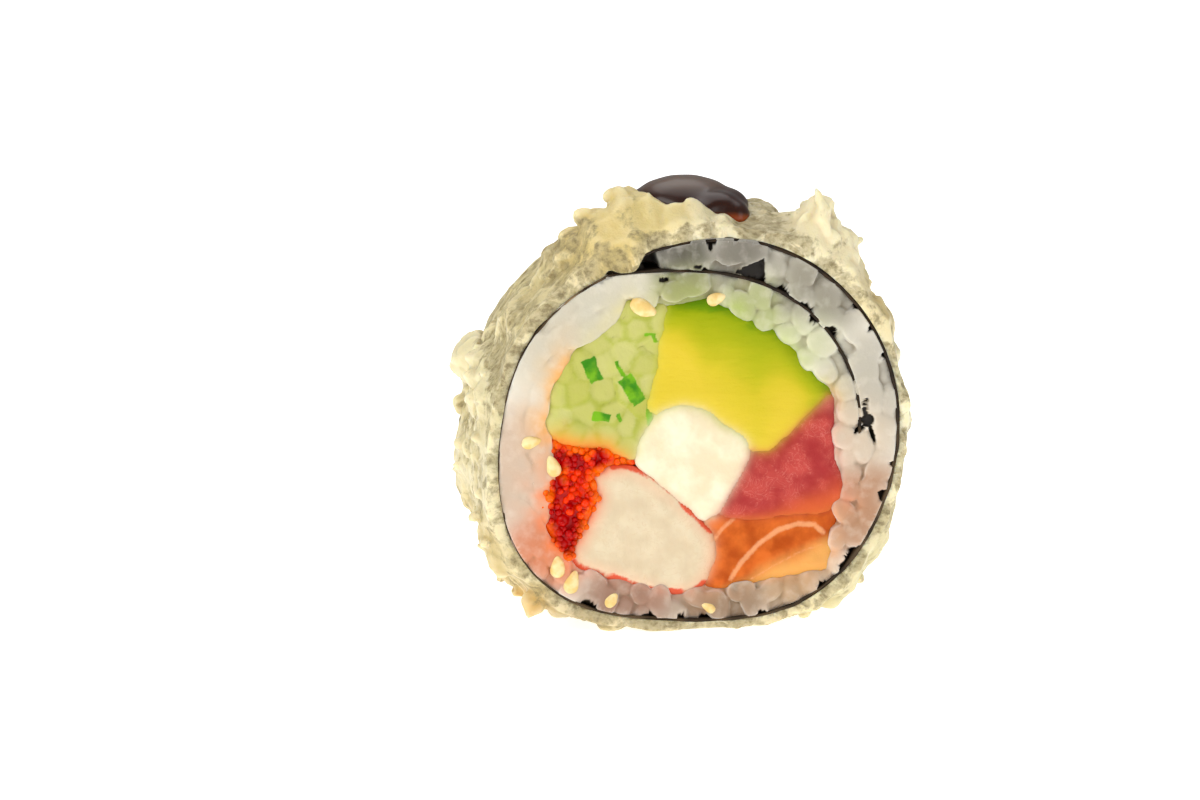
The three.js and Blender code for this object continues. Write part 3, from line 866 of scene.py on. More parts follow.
class SUSHI_OT_batter(bpy.types.Operator):
    """Fry the crust: crags, flakes and crumbs of pale batter round the roll"""

    bl_idname = "sushi.batter"
    bl_label = "Fried Batter"

    def execute(self, context):
        settings = context.scene.sushi_roll.batter
        material = paint_batter(settings)
        shell = Clay.from_node("batter_crust", "batter_shell")
        rough = Clay.from_node("batter_crust", "batter_rough").fuse(0.8)
        points = rough.points
        cover = cover_over_nori(points)
        rough.store("craggy", stepped(cover, 1.0, 2.6) * stepped(noise(points, 6, 4), -0.5, 0.4))
        crumbs = make_crumbs(rough, material)
        bpy.data.objects.remove(rough.piece)
        shell.add(crumbs, *make_flakes())
        shell.fuse(settings.detail / MM)
        shell.relax(3)
        self.raise_crags(shell, settings.rough / MM)
        self.close_on_nori(shell)
        shell.thin(walls_first=False)
        points = shell.points
        shell.store("tone", regional(points, CRUST_TONES, settings.middling))
        shell.store("thin", 1 - stepped(cover_over_nori(points), 1.1, 3.4))
        shell.store("smudge", smudge_at(points))
        # How deep each point lies in a hollow, for the painted shade in the hollows and the painted highlight
        # on the crests
        shell.store("hollow", shell.hollows() * 2)
        shell.finish(material, "batter", "batter_crust")
        return {"FINISHED"}

    @staticmethod
    def raise_crags(shell, rough):
        """Folds, lumps and crests on the outside"""
        points = shell.points
        cover = cover_over_nori(points)
        outside = stepped(cover, 0.45, 1.1)
        thick = stepped(cover, 0.8, 2.6)
        lumps = layered_noise(points, 3.6, 2, 2)
        warp = points + 0.9 * np.stack([noise(points, 2.4, seed) for seed in (71, 72, 73)], 1)
        crests = (1 - 2.2 * np.abs(noise(warp, 3.2, 5))).clip(-0.4)
        flank = 1 - stepped(np.abs(points[:, 1]), 9, 12)
        crinkle = (1 - 2 * np.abs(noise(warp * (0.5, 1, 0.5), 1.2, 6))).clip(0) ** 2
        folds = (0.15 + 0.3 * thick) * crust_folds(points) + 0.35 * lumps + 0.4 * thick * flank * crests
        shell.push(outside * rough * (folds + 0.4 * flank * crinkle + 0.06 * noise(points, 0.7, 8)))

    @staticmethod
    def close_on_nori(shell):
        """The inside brought against the nori, and down into the wedge where the sheet ends"""
        points = shell.points
        degrees, radius = polar(points)
        sheet_end = NORI_END - 360 - 17 * stepped(-points[:, 1], WALLS_END, 12.2)
        under_lap = (degrees > sheet_end) & (degrees < LAP_SETTLED)
        low = roll_radius(degrees) - nori_radius(np.where(under_lap, degrees, LAP_SETTLED))
        hollow = 0.8 * np.exp(-((degrees - 147) / 3) ** 2) + 0.7 * np.exp(-((degrees - 119) / 1.6) ** 2)
        low = np.where(under_lap, low, 0) * (1 - hollow) * stepped(degrees, sheet_end - 1, sheet_end + 6)
        nori = roll_radius(degrees) + nori_half(degrees, points[:, 1])
        near = 0.45 + 0.5 * stepped(np.abs(points[:, 1]), WALLS_END, 12.4)
        outward = (shell.normals[:, [0, 2]] * points[:, [0, 2]]).sum(1) / radius
        outward = outward * (1 - stepped(np.abs(points[:, 1]), 10.8, 11.8))
        free = np.maximum(stepped(radius - nori, near, near + 0.4), stepped(outward, 0.1, 0.5))
        held = nori + (radius - nori) * free - low * (1 - free)
        held = np.where(outward > 0.1, np.maximum(held, nori + 0.4 * stepped(outward, 0.3, 0.7)), held)
        points[:, [0, 2]] *= (held / radius)[:, None]
        points[:, 2] = np.maximum(points[:, 2], FOOT)
        shell.points = points


# The nori

def paint_nori(settings):
    """Seaweed, nearly black, with the batter's veil over its edge on the left"""
    paint = Paint("nori")
    blotches = paint.cloud(1.6, 4, 0.6)
    fibres = paint.cloud(0.4, 3, 0.6)
    colour = paint.mix(blotches.stepped(0.35, 0.7), settings.colour, tint(58, 42, 24))
    colour = paint.mix(paint.number("veiled"), colour, tint(150, 124, 88))
    roughness = 0.45 + fibres * 0.3
    return paint.surface(colour, roughness, [(fibres, 0.08), (blotches, 0.1)], specular_ior_level=0.2)


# Where the rows of the sheet's points lie along the roll, and how many points wind round in each
NORI_ROWS = [-13.0, -12.6, -11.8, -10, -6, 0, 6, 10, 11.8, 12.6, 13.0]
NORI_STEPS = 700

# The winding over which the front edge is drawn back behind the crust, and how far
DRAWN_BACK = (469, 474)
DRAWN_BACK_BY = 0.9


def nori_points(waves):
    """The rows of the sheet from the front to the back, in each its inner side and then its outer side"""
    winding = np.linspace(NORI_START, NORI_END, NORI_STEPS)
    middle = section_point(winding, nori_radius(winding))
    rows = []
    for place in NORI_ROWS:
        near = np.stack([middle[:, 0], np.full(NORI_STEPS, place), middle[:, 1]], 1)
        stray = noise(near, 2.2, 1) * waves * stepped(abs(place), EDGE_FROM, BACK)
        half = nori_half(winding, place) * (0.95 + 0.3 * noise(near, 1.3, 7))
        fray = np.sign(place) * (abs(place) >= BACK) * 0.12 * noise(near, 0.8, 3)
        fray = fray + (place < -12) * DRAWN_BACK_BY * stepped(winding, *DRAWN_BACK)
        for side in (-1, 1):
            x, z = section_point(winding, nori_radius(winding) + stray + side * half).T
            rows.append(np.stack([x, place + fray, z], -1))
    return np.concatenate(rows)


def nori_faces():
    """The faces between the rows of the sheet, with its two ends"""
    inner = [2 * i * NORI_STEPS for i in range(len(NORI_ROWS))]
    outer = [(2 * i + 1) * NORI_STEPS for i in range(len(NORI_ROWS))]
    loop = inner + outer[::-1]
    last = NORI_STEPS - 1
    faces = []
    for start, following in zip(loop, loop[1:] + loop[:1]):
        for i in range(last):
            faces.append((start + i, following + i, following + i + 1, start + i + 1))
    for i in range(len(NORI_ROWS) - 1):
        faces.append((inner[i], outer[i], outer[i + 1], inner[i + 1]))
        faces.append((inner[i] + last, inner[i + 1] + last, outer[i + 1] + last, outer[i] + last))
    return faces


class SUSHI_OT_nori(bpy.types.Operator):
    """Wind the sheet of nori once round the rice, with its ends lapped"""

    bl_idname = "sushi.nori"
    bl_label = "Nori"

    def execute(self, context):
        settings = context.scene.sushi_roll.nori
        points = nori_points(settings.waviness / MM)
        sheet = Clay("nori_winding", points, nori_faces())
        built = bmesh.new()
        built.from_mesh(sheet.mesh)
        bmesh.ops.recalc_face_normals(built, faces=built.faces)
        built.to_mesh(sheet.mesh)
        built.free()
        degrees, _ = polar(points)
        left = stepped(degrees, 118, 128) * (1 - 0.75 * stepped(degrees, 138, 150))
        at_edge = stepped(np.abs(points[:, 1]), 11, 12.6)
        sheet.store("veiled", left * at_edge * (0.55 + 0.6 * noise(points, 2.0, 8)).clip(0, 0.9))
        sheet.finish(paint_nori(settings), "nori", "nori_sheet")
        return {"FINISHED"}


# The rice

# The rice's tone by region: x, z, reach and colour
# The greys between the nori's two turns, darkest near the top where the lap begins, are painted shade under
# the lap; the greens, oranges and browns next to the fillings are the rice's own stains
RICE_TONES_AND_LAP_SHADE = [
    (-2.5, 23.2, 4, tint(80, 75, 65)), (5.5, 23, 4, tint(122, 116, 105)),
    (15, 18.5, 6, tint(148, 142, 126)), (23, 6, 6, tint(188, 182, 168)), (-2, 19, 4, tint(148, 150, 98)),
    (7, 17, 4, tint(172, 175, 126)), (14, 12, 4, tint(204, 204, 172)), (20, 1, 6, tint(206, 190, 168)),
    (-16, 15.5, 9, tint(202, 196, 178)), (-23, -4, 7, tint(206, 184, 162)),
    (-20, -15, 5, tint(206, 130, 92)), (-9.5, -22.3, 5.5, tint(150, 112, 90)),
    (3, -24, 6, tint(146, 118, 90)), (13, -20, 5, tint(178, 148, 112)), (22, -11, 6, tint(176, 132, 98)),
]

# How far a filling's juice has run into the rice: reach in millimetres, strength and colour
JUICES = {
    "roe": (1.7, 0.8, tint(250, 128, 40)), "avocado": (2.2, 0.55, tint(176, 196, 70)),
    "tuna": (1.4, 0.5, tint(236, 132, 108)), "salmon": (1.5, 0.6, tint(240, 170, 110)),
    "cucumber": (1.6, 0.45, tint(226, 212, 130)), "crab_stick": (1.0, 0.4, tint(232, 150, 116)),
}

# Gaps that the grains leave at the front, painted dark as shade: x, z, half sizes, and the turn in degrees
RICE_GAPS = [
    (-0.2, 21.6, 0.5, 0.3, 0), (22.2, 0.9, 0.95, 0.85, 0), (21.9, 2.5, 0.3, 1.4, -8),
    (21.3, -0.2, 0.3, 1.2, -55), (22.9, -0.9, 0.28, 1.5, 18), (-4.8, 20.0, 0.9, 0.35, -8),
]

# Gaps along the nori, painted dark as shade: the winding's degrees in the middle, half the degrees, and the
# height, below 0 inwards
NORI_GAPS = [
    (59, 2.4, 0.5), (48.5, 3.0, 0.4), (36, 2.8, 0.85), (44, 2.0, -0.5), (397.5, 0.9, -0.4),
    (390, 0.8, -0.4), (381, 1.0, -0.45), (446.5, 1.6, -1.3), (88, 1.2, 0.45), (339.5, 1.8, -0.9),
    (319, 4.5, -0.7), (237.5, 2.2, -0.75), (255, 2.0, -0.6), (264.5, 1.1, -0.45), (272, 1.8, -0.5),
    (289, 1.4, -0.4), (349, 0.8, -0.4), (308, 1.5, -0.4),
]

# The largest gap, painted dark as shade, as corners in clockwise order
RICE_HOLE = [(4.2, 20.8), (8.5, 22.5), (8.7, 19.0)]


def grain_places(settings, side):
    """Places for the grains at one cut face, with the turn, the lengthening and the widening of each"""
    draw = np.random.default_rng(settings.seed + side)
    spacing = settings.spacing / MM
    tries = draw.uniform(-MEAN_RADIUS, MEAN_RADIUS, (16000, 2))
    leans = draw.normal(0, 1, len(tries))
    flat = np.stack([tries[:, 0], np.zeros(len(tries)), tries[:, 1]], 1)
    rice_edge = SECTION.distance_from_edge(flat, "rice")
    nori_edge = SECTION.distance(flat, "nori_sheet")
    places = []
    for (x, z), lean, deep, wall in zip(tries, leans, rice_edge, nori_edge):
        if deep < 0.4 or wall < 1.05:
            continue
        smear = float(smeared(np.array([[x, 0.0, z]]))[0])
        lap = float(stepped(math.hypot(x, z), 21.6, 22.6) * stepped(x + z, 6, 12))
        wider = 1.06 + 0.14 * lap + 0.1 * float(stepped(z, 2, 8)) - 0.1 * smear
        apart = spacing * wider
        if any((x - p[0]) ** 2 + (z - p[1]) ** 2 < apart * apart for p in places):
            continue
        turn = math.atan2(z, x) + math.pi / 2 + lean * (0.8 - 0.65 * smear - 0.6 * lap)
        places.append((x, z, turn, 0.82 + 0.7 * smear + 0.28 * lap, wider))
    return places


def smeared(points):
    """How much the knife has smeared the rice flat, most on the left"""
    return stepped(-points[:, 0], 6, 14) * stepped(points[:, 2], -19, -11)


def make_grains(settings, material):
    """Grains of rice at both cut faces"""
    draw = np.random.default_rng(settings.seed)
    found = [(side, place) for side in (-1, 1) for place in grain_places(settings, side)]
    points = [(place[0], side * (BACK - draw.uniform(0.5, 1.5)), place[1]) for side, place in found]
    spots = Clay("grain_places", points)
    for index, name in enumerate(("turn", "longer", "wider"), 2):
        spots.store(name, [place[index] for _, place in found])
    growth = Growth(
        "rice_grains", length=settings.length / MM, width=settings.width / MM, uneven=0.5,
        seed=settings.seed, material=material)
    seed = growth.input("seed")
    tip = growth.random(-0.3, 0.3, seed)
    rotation = growth.node(
        "ShaderNodeCombineXYZ", {}, [growth.random(0.0, 3.0, seed), growth.named("turn") * -1.0, tip])
    stretch = growth.random(0.85, 1.12, seed)
    size = growth.node("ShaderNodeCombineXYZ", {}, [
        growth.input("length") * growth.named("longer") * stretch * 0.5,
        growth.input("width") * growth.named("wider") * stretch * 0.5,
        growth.input("width") * growth.named("wider") * 0.5])
    grain = growth.node("GeometryNodeMeshUVSphere", {}, {"Segments": 8, "Rings": 8, "Radius": 1.0})
    laid = growth.node(
        "GeometryNodeTransform", {}, {"Geometry": grain, "Rotation": (0, math.pi / 2, 0)})
    many = growth.copies(growth.input(), laid, rotation=rotation, scale=size)
    real = growth.node("GeometryNodeRealizeInstances", {}, [many])
    wobble = growth.node("ShaderNodeTexNoise", {}, {"Scale": 0.5, "Detail": 1.0}, output="Color")
    centred = growth.node("ShaderNodeVectorMath", {"operation": "SUBTRACT"}, [wobble, (0.5, 0.5, 0.5)])
    uneven = growth.input("uneven")
    offset = growth.node("ShaderNodeVectorMath", {"operation": "SCALE"}, {0: centred, 3: uneven})
    moved = growth.node("GeometryNodeSetPosition", {}, {"Geometry": real, "Offset": offset})
    grains = growth.run(spots, "grains", moved)
    bpy.data.objects.remove(spots.piece)
    return grains


def paint_rice():
    """Cooked rice: translucent, stained by what lies next to it, with painted highlight on the tops and rims
    of the grains and painted shade in the creases and gaps between them
    """
    paint = Paint("rice")
    soft = paint.cloud(1.6, 3, 0.5)
    fine = paint.cloud(0.35, 3, 0.6)
    hollow = paint.number("hollow")
    colour = paint.mix((soft - 0.5).clipped() * 0.8, paint.colour("stain_and_shade"), tint(246, 240, 226))
    # Painted highlight: the tops of the grains are painted paler
    colour = paint.mix((hollow * -1.0).clipped() * 0.22, colour, tint(248, 243, 232))
    # Painted highlight along the rim of each grain, except in the creases
    edge = paint.number("edge") * (1 - (hollow * 2).clipped())
    colour = paint.mix(edge * 0.38, colour, tint(250, 246, 236))
    # Painted shade: the creases between grains are painted darker
    colour = paint.mix((hollow * 1.8).clipped() * 0.5, colour, tint(136, 120, 94))
    # Painted shade: the gaps are painted nearly black
    colour = paint.mix(paint.number("gap").stepped(0.25, 0.7), colour, tint(26, 18, 8))
    roughness = 0.35 + fine * 0.25
    return paint.surface(
        colour, roughness, [(soft, 0.08), (fine, 0.03)],
        glow=(0.6, (1.0, 0.9, 0.75), 0.7), specular_ior_level=0.3)


def stain_and_shade_at(points, base):
    """The rice's colour at each point"""
    stain_and_shade = regional(points, RICE_TONES_AND_LAP_SHADE, base)
    patchy = 0.6 + 0.6 * layered_noise(points, 2.2, 3, 15)
    for node, (reach, strength, colour) in JUICES.items():
        share = strength * np.exp(-SECTION.distance(points, node) / reach) * np.clip(patchy, 0, 1.2)
        stain_and_shade += np.clip(share, 0, 1)[:, None] * (np.array(colour) - stain_and_shade)
    wet = 0.85 * np.exp(-SECTION.distance(points, "cucumber") / 1.5) * stepped(-points[:, 0], 15, 18)
    return stain_and_shade + (wet * np.clip(patchy + 0.2, 0, 1.1))[:, None] * (np.array(tint(242, 166, 66)) - stain_and_shade)


def oval_gaps(points, ragged):
    """How much each point lies in a gap between grains"""
    most = np.zeros(len(points))
    for x, z, wide, high, degrees in RICE_GAPS:
        turn = math.radians(degrees)
        dx, dz = points[:, 0] - x, points[:, 2] - z
        across = (dx * math.cos(turn) + dz * math.sin(turn)) / wide
        upward = (dz * math.cos(turn) - dx * math.sin(turn)) / high
        most = np.maximum(most, 1 - stepped(np.hypot(across, upward) * ragged, 0.8, 1.1))
    return most


def nori_gaps(points, ragged):
    """How much each point lies in a gap along the nori"""
    most = np.zeros(len(points))
    degrees, radius = polar(points)
    for middle, half, height in NORI_GAPS:
        aside = (degrees - middle + 180) % 360 - 180
        away = np.abs(aside) / half
        edge = nori_radius(np.clip(middle + aside, NORI_START, NORI_END))
        from_nori = (radius - edge) * np.sign(height)
        taller = abs(height) * (1 - away ** 1.5).clip(-3) * ragged
        most = np.maximum(most, stepped(taller + NORI_HALF - from_nori, -0.06, 0.12) * (from_nori > 0))
    return most


def depth_in_holes(points):
    """How deep each point lies in the largest gap or in the wedge at the sheet's end, below 0 outside them"""
    degrees, radius = polar(points)
    inside = np.full(len(points), np.inf)
    for start, end in zip(RICE_HOLE, RICE_HOLE[1:] + RICE_HOLE[:1]):
        along = np.subtract(end, start) / math.dist(start, end)
        x, z = points[:, 0] - start[0], points[:, 2] - start[1]
        inside = np.minimum(inside, x * along[1] - z * along[0])
    inside = np.minimum(inside, radius - nori_radius(degrees) + 0.05)
    between_turns = np.minimum(radius - nori_radius(degrees), roll_radius(degrees) - radius)
    wedge = np.minimum(between_turns, (degrees - 103.5 - 2.0 * (between_turns - 1.1) ** 2) * 0.4)
    return np.maximum(inside, np.minimum(wedge, (132 - degrees) * 0.2))


def gap_and_shade_at(points):
    """How much each point lies in one of the gaps of the front face, which are pushed back and painted dark
    as shade
    """
    ragged = 1 + 0.16 * noise(points, 0.8, 6)
    most = np.maximum(oval_gaps(points, ragged), nori_gaps(points, ragged))
    most = np.maximum(most, stepped(depth_in_holes(points), -0.06, 0.1))
    return most * stepped(-points[:, 1], 9.5, 10.5)


def against_nori(points):
    """The points of the rice beside the nori brought up against it, on both of its sides"""
    degrees, radius = polar(points)
    moved = radius.copy()
    for winding in (degrees, degrees + 360):
        turn = np.where(winding > 540, winding - 360, winding)
        there = (turn >= NORI_START - 2) & (turn <= NORI_END + 2)
        from_nori = radius - nori_radius(turn)
        gap = np.abs(from_nori)
        half = nori_half(turn, points[:, 1]) - 0.03
        free = 0.6 + 0.3 * stepped(np.abs(points[:, 1]), WALLS_END, 12.4)
        near = there & (gap < free + 0.35)
        drawn = half + (gap - half) * stepped(gap, free, free + 0.35)
        moved = np.where(near, radius + np.sign(from_nori) * (drawn - gap), moved)
    result = points.copy()
    result[:, [0, 2]] *= (moved / np.maximum(radius, 1e-6))[:, None]
    return result


class SUSHI_OT_rice(bpy.types.Operator):
    """Pack the cooked rice between the nori and the fillings, grain by grain at the cut faces"""

    bl_idname = "sushi.rice"
    bl_label = "Rice"

    def execute(self, context):
        settings = context.scene.sushi_roll.rice
        material = paint_rice()
        heap = Clay.from_node("rice", "rice_heap")
        points = heap.points
        points[:, 1] = np.clip(points[:, 1], FRONT + 0.75, BACK - 0.75)
        heap.points = points
        heap.add(make_grains(settings, material))
        heap.fuse(0.25).relax(2).push(0.1)
        heap.points = against_nori(wavered(self.flattened(heap.points)))
        heap.thin()
        points = heap.points
        points[:, 1] += gap_and_shade_at(points) * 0.9
        heap.points = points
        heap.store("stain_and_shade", stain_and_shade_at(points, settings.colour))
        # The gaps' mask, which the material paints dark as shade
        heap.store("gap", gap_and_shade_at(points))
        # How deep each point lies between grains, for the painted shade in the creases and the painted
        # highlight on the grain tops
        heap.store("hollow", heap.hollows(16) * 2.2)
        # Painted highlight: where the grains turn away from the cut face their rims are painted paler
        heap.store("edge", 1 - stepped(np.abs(heap.normals[:, 1]), 0.35, 0.85))
        heap.finish(material, "rice", "rice")
        return {"FINISHED"}

    @staticmethod
    def flattened(points):
        """The points with the grains cut level at both faces, flattest where they are smeared"""
        side = np.sign(points[:, 1])
        beyond = np.maximum(np.abs(points[:, 1]) - BACK, 0)
        bulge = 0.28
        points[:, 1] -= side * (beyond - bulge * (1 - np.exp(-beyond / bulge)))
        out = np.abs(points[:, 1]) - BACK
        flat = 0.8 - 0.5 * smeared(points)
        deep = 1.5
        points[:, 1] = side * (BACK + np.where(out > -deep, out * flat, out + deep * (1 - flat)))
        return points


# Sesame seeds in the front and the back face: x, z, the turn of the long axis in degrees, and the size
FRONT_SEEDS = [
    (-18.6, -17.2, 92, 1.15), (-16.7, -19.4, 72, 1.2), (-11.5, -21.8, 55, 0.95), (-19.2, -4.0, 108, 1.15),
    (-22.0, -0.8, 10, 1.0), (-7.3, 16.3, -27, 1.4), (2.2, 17.4, 20, 1.0), (1.2, -23.2, 150, 0.85),
]
BACK_SEEDS = [
    (20.8, -2, 80, 1.0), (18.5, 8, 60, 1.05), (9.8, -21.4, 20, 0.9), (-14, -18.6, 130, 1.0),
    (-22, 3, 90, 1.0), (-14.8, 15.4, 45, 1.1), (2.4, 19.2, 0, 0.9), (-21, -9.5, 100, 1.0),
]


def paint_sesame(settings):
    """Toasted seeds, browner in small spots"""
    paint = Paint("sesame")
    soft = paint.cloud(1.2, 2)
    fine = paint.cloud(0.3, 3, 0.6)
    colour = paint.mix(soft.stepped(0.35, 0.7), settings.colour, tint(250, 226, 168))
    colour = paint.mix(fine.stepped(0.6, 0.8) * 0.3, colour, tint(206, 152, 70))
    return paint.surface(
        colour, 0.35 + fine * 0.2, [(fine, 0.05)], glow=(0.3, (1.0, 0.7, 0.4), 0.6))


class SUSHI_OT_sesame(bpy.types.Operator):
    """Press the sesame seeds into the rice at the two cut faces"""

    bl_idname = "sushi.sesame"
    bl_label = "Sesame Seeds"

    def execute(self, context):
        settings = context.scene.sushi_roll.sesame
        half = settings.length / MM / 2
        draw = np.random.default_rng(21)
        seeds = []
        for side, places in ((-1, FRONT_SEEDS), (1, BACK_SEEDS)):
            for x, z, degrees, size in places:
                size *= draw.uniform(0.94, 1.04)
                seed = ball("seed", (0, 0, 0), (half * size, half * 0.4 * size, half * 0.6 * size))
                points = seed.points
                taper = 1 - 0.38 * points[:, 0] / (half * size)
                points[:, 1:] *= taper[:, None]
                seed.points = points @ turned(degrees).T + (x, side * (BACK - 0.05), z)
                seeds.append(seed)
        first = seeds[0]
        first.add(*seeds[1:])
        first.piece.name = "sesame_seeds"
        first.push(0.06 * noise(first.points, 0.7, 9))
        first.finish(paint_sesame(settings), "rice")
        return {"FINISHED"}


# The fillings

# The colour that each node lends to what it touches
NEIGHBOURS = {
    "cream_cheese": tint(244, 232, 196), "crab_stick": tint(238, 190, 156), "tuna": tint(206, 84, 72),
    "salmon": tint(222, 116, 46), "avocado": tint(196, 196, 40), "roe": tint(244, 92, 10),
    "cucumber": tint(206, 204, 92),
}


# Each filling's piece, the rounds of softening, and the size, height, seed and stretch of its uneven faces
FILLINGS = {
    "cream_cheese": ("cheese_block", 3, (4, 0.12, 3, (1, 1, 1))),
    "crab_stick": ("crab_surimi", 2, (3, 0.14, 5, (1, 1, 2))),
    "tuna": ("tuna_cut", 2, (3, 0.16, 7, (1, 1, 1))),
    "salmon": ("salmon_cut", 2, (3, 0.16, 8, (1, 1, 1))),
    "avocado": ("avocado_slice", 2, (5, 0.18, 9, (2, 1, 1))),
    "cucumber": ("cucumber_sticks", 2, (2, 0.1, 11, (1, 1, 1))),
}


def soft_copy(node, name, detail, relaxed):
    """A CAD filling grown until it meets its neighbours, level with them there and just behind the rice"""
    clay = Clay.from_node(node, name)
    clay.fuse(detail).relax(relaxed)
    normals = clay.normals
    grown = 0.34
    points = clay.points + normals * grown
    side = np.sign(points[:, 1])
    at_face = stepped(np.abs(points[:, 1]), 11.8, 12.8)
    points[:, [0, 2]] += normals[:, [0, 2]] * 0.2 * at_face[:, None]
    proud = np.maximum(np.abs(points[:, 1]) - grown - BACK, 0)
    inner = SECTION.distance_from_edge(points, node)
    beside_rice = 1 - np.clip(SECTION.distance(points, "rice") / 1.5, 0, 1)
    lowered = grown + proud * np.exp(-inner / 0.8) + 0.5 * beside_rice ** 2
    points[:, 1] -= side * at_face * lowered
    clay.points = wavered(points)
    return clay


def run_together(clay, own):
    """Keeps the colour that runs in from what lies beside a filling, and how much of it"""
    points = clay.points
    total = np.zeros((len(points), 3))
    weight = np.zeros(len(points))
    for node, colour in NEIGHBOURS.items():
        if node != own:
            share = np.exp(-np.maximum(SECTION.distance(points, node) - 0.2, 0) / 0.42)
            total += share[:, None] * np.array(colour)
            weight += share
    clay.store("runs", total / np.maximum(weight, 1e-6)[:, None])
    clay.store("share", 0.5 * np.clip(weight, 0, 1))


def face_outline(built):
    """The line round a filling's front face, as pairs of x and z"""
    lines = []
    for edge in built.edges:
        if len(edge.link_faces) != 2:
            continue
        facing = sorted(face.normal.y for face in edge.link_faces)
        if facing[0] < -0.7 and facing[1] > -0.3:
            lines.append([(v.co.x, v.co.z) for v in edge.verts])
    return lines


def wall_outline(built):
    """The line round a filling, from the walls that run along the roll, as pairs of x and z"""
    lines = []
    for face in built.faces:
        if abs(face.normal.y) > 0.1 or face.calc_area() < 2:
            continue
        spread = sorted({(round(v.co.x, 2), round(v.co.z, 2)) for v in face.verts})
        if len(spread) == 2:
            lines.append(spread)
    return lines


def distance_to_outline(points, lines):
    """How far places in the section lie from an outline"""
    least = np.full(len(points), np.inf)
    for line in lines:
        least = np.minimum(least, distance_to_line(points, line))
    return least


def uneven_faces(clay, size, amount, seed, stretch):
    """Soft unevenness of the two cut faces"""
    points = clay.points
    face = stepped(np.abs(clay.normals[:, 1]), 0.5, 0.9)
    relief = layered_noise(points / np.array(stretch), size, 3, seed)
    points[:, 1] += np.sign(points[:, 1]) * face * amount * relief
    clay.points = points


def shape_filling(node, detail):
    """A filling's piece in its final shape, with the colours that run in from beside it"""
    name, relaxed, unevenness = FILLINGS[node]
    clay = soft_copy(node, name, detail, relaxed)
    uneven_faces(clay, *unevenness)
    clay.thin()
    run_together(clay, node)
    return clay


def paint_cheese(settings):
    """Cream cheese, even and dull"""
    paint = Paint("cream_cheese")
    soft = paint.cloud(3.0, 3)
    fine = paint.cloud(0.5, 3, 0.6)
    colour = paint.mix(soft.stepped(0.3, 0.75), settings.cheese, tint(248, 240, 212))
    return paint.surface(
        paint.running(colour), 0.5 + fine * 0.15, [(soft, 0.2), (fine, 0.05)],
        glow=(0.5, (1.0, 0.85, 0.6), 1.2), specular_ior_level=0.2)


class SUSHI_OT_cheese(bpy.types.Operator):
    """Lay the block of cream cheese in the middle"""

    bl_idname = "sushi.cheese"
    bl_label = "Cream Cheese"

    def execute(self, context):
        settings = context.scene.sushi_roll.filling
        block = shape_filling("cream_cheese", settings.detail / MM)
        block.finish(paint_cheese(settings), "cream_cheese", "cream_cheese")
        return {"FINISHED"}


# Where the crab stick's orange-red skin runs along its edge, as lines of x and z
CRAB_SKIN = [
    [(-10.7, -4.2), (-7.8, -5.4), (-5.7, -6.9), (-3.0, -8.4), (-0.4, -11.0), (1.2, -12.6)],
    [(-16.0, -17.4), (-10.5, -19.6), (-4.6, -21.4), (-1.2, -21.4), (0.4, -20.4)],
]


def paint_crab(settings):
    """Crab stick: pale folded fibres with a thin orange-red skin"""
    paint = Paint("crab_stick")
    fibres = paint.cloud(0.8, 3, 0.6, paint.stretched(1.0, 5.0, 2.2))
    soft = paint.cloud(2.6, 3)
    whorls = paint.cloud(2.2, 2, 0.5, paint.stretched(1.0, 4.0, 0.7), 1.6)
    colour = paint.mix(soft.stepped(0.3, 0.7), settings.crab, tint(226, 212, 182))
    rim = 1 - paint.number("rim").stepped(0.1, 2.2)
    colour = paint.mix(rim * 0.4, colour, tint(236, 188, 156))
    lines = 1 - (whorls - 0.5).absolute().stepped(0.0, 0.03)
    colour = paint.mix(lines * soft.stepped(0.4, 0.6) * 0.3, colour, tint(208, 178, 134))
    skin = 1 - (paint.number("skin") + (fibres - 0.5) * 0.5).stepped(0.12, 0.42)
    return paint.surface(
        paint.mix(skin * 0.9, paint.running(colour), tint(222, 66, 24)), 0.45 + fibres * 0.15,
        [(fibres, 0.08), (soft, 0.15)], glow=(0.5, (1.1, 0.8, 0.6), 1.0), specular_ior_level=0.2)


class SUSHI_OT_crab(bpy.types.Operator):
    """Lay the crab stick with its thin orange skin"""

    bl_idname = "sushi.crab"
    bl_label = "Crab Stick"

    def execute(self, context):
        settings = context.scene.sushi_roll.filling
        stick = shape_filling("crab_stick", settings.detail / MM)
        points = stick.points
        stick.store("rim", distance_to_outline(points, measured("crab_stick", face_outline)))
        inner = SECTION.distance_from_edge(points, "crab_stick") + 0.35 * noise(points, 1.8, 6)
        upper, lower = (np.maximum(distance_to_line(points, line) - 0.9, 0) for line in CRAB_SKIN)
        stick.store("skin", np.minimum(inner * 0.9 + upper, inner * 0.6 + lower))
        stick.finish(paint_crab(settings), "crab_stick", "crab_stick")
        return {"FINISHED"}


# Pale lines of fat in the salmon: how much thinner each is than the first, and its corners
SALMON_FAT = [
    (0, [
        (4.2, -19.6), (5.6, -17.4), (8.0, -14.9), (10.6, -13.2), (13.0, -12.5), (15.2, -12.7),
        (16.4, -13.8)]),
    (0.1, [(2.0, -14.4), (3.0, -12.9), (4.6, -11.6)]),
    (0.28, [(6.8, -19.8), (10.0, -17.9), (13.4, -16.2), (16.6, -15.2)]),
]


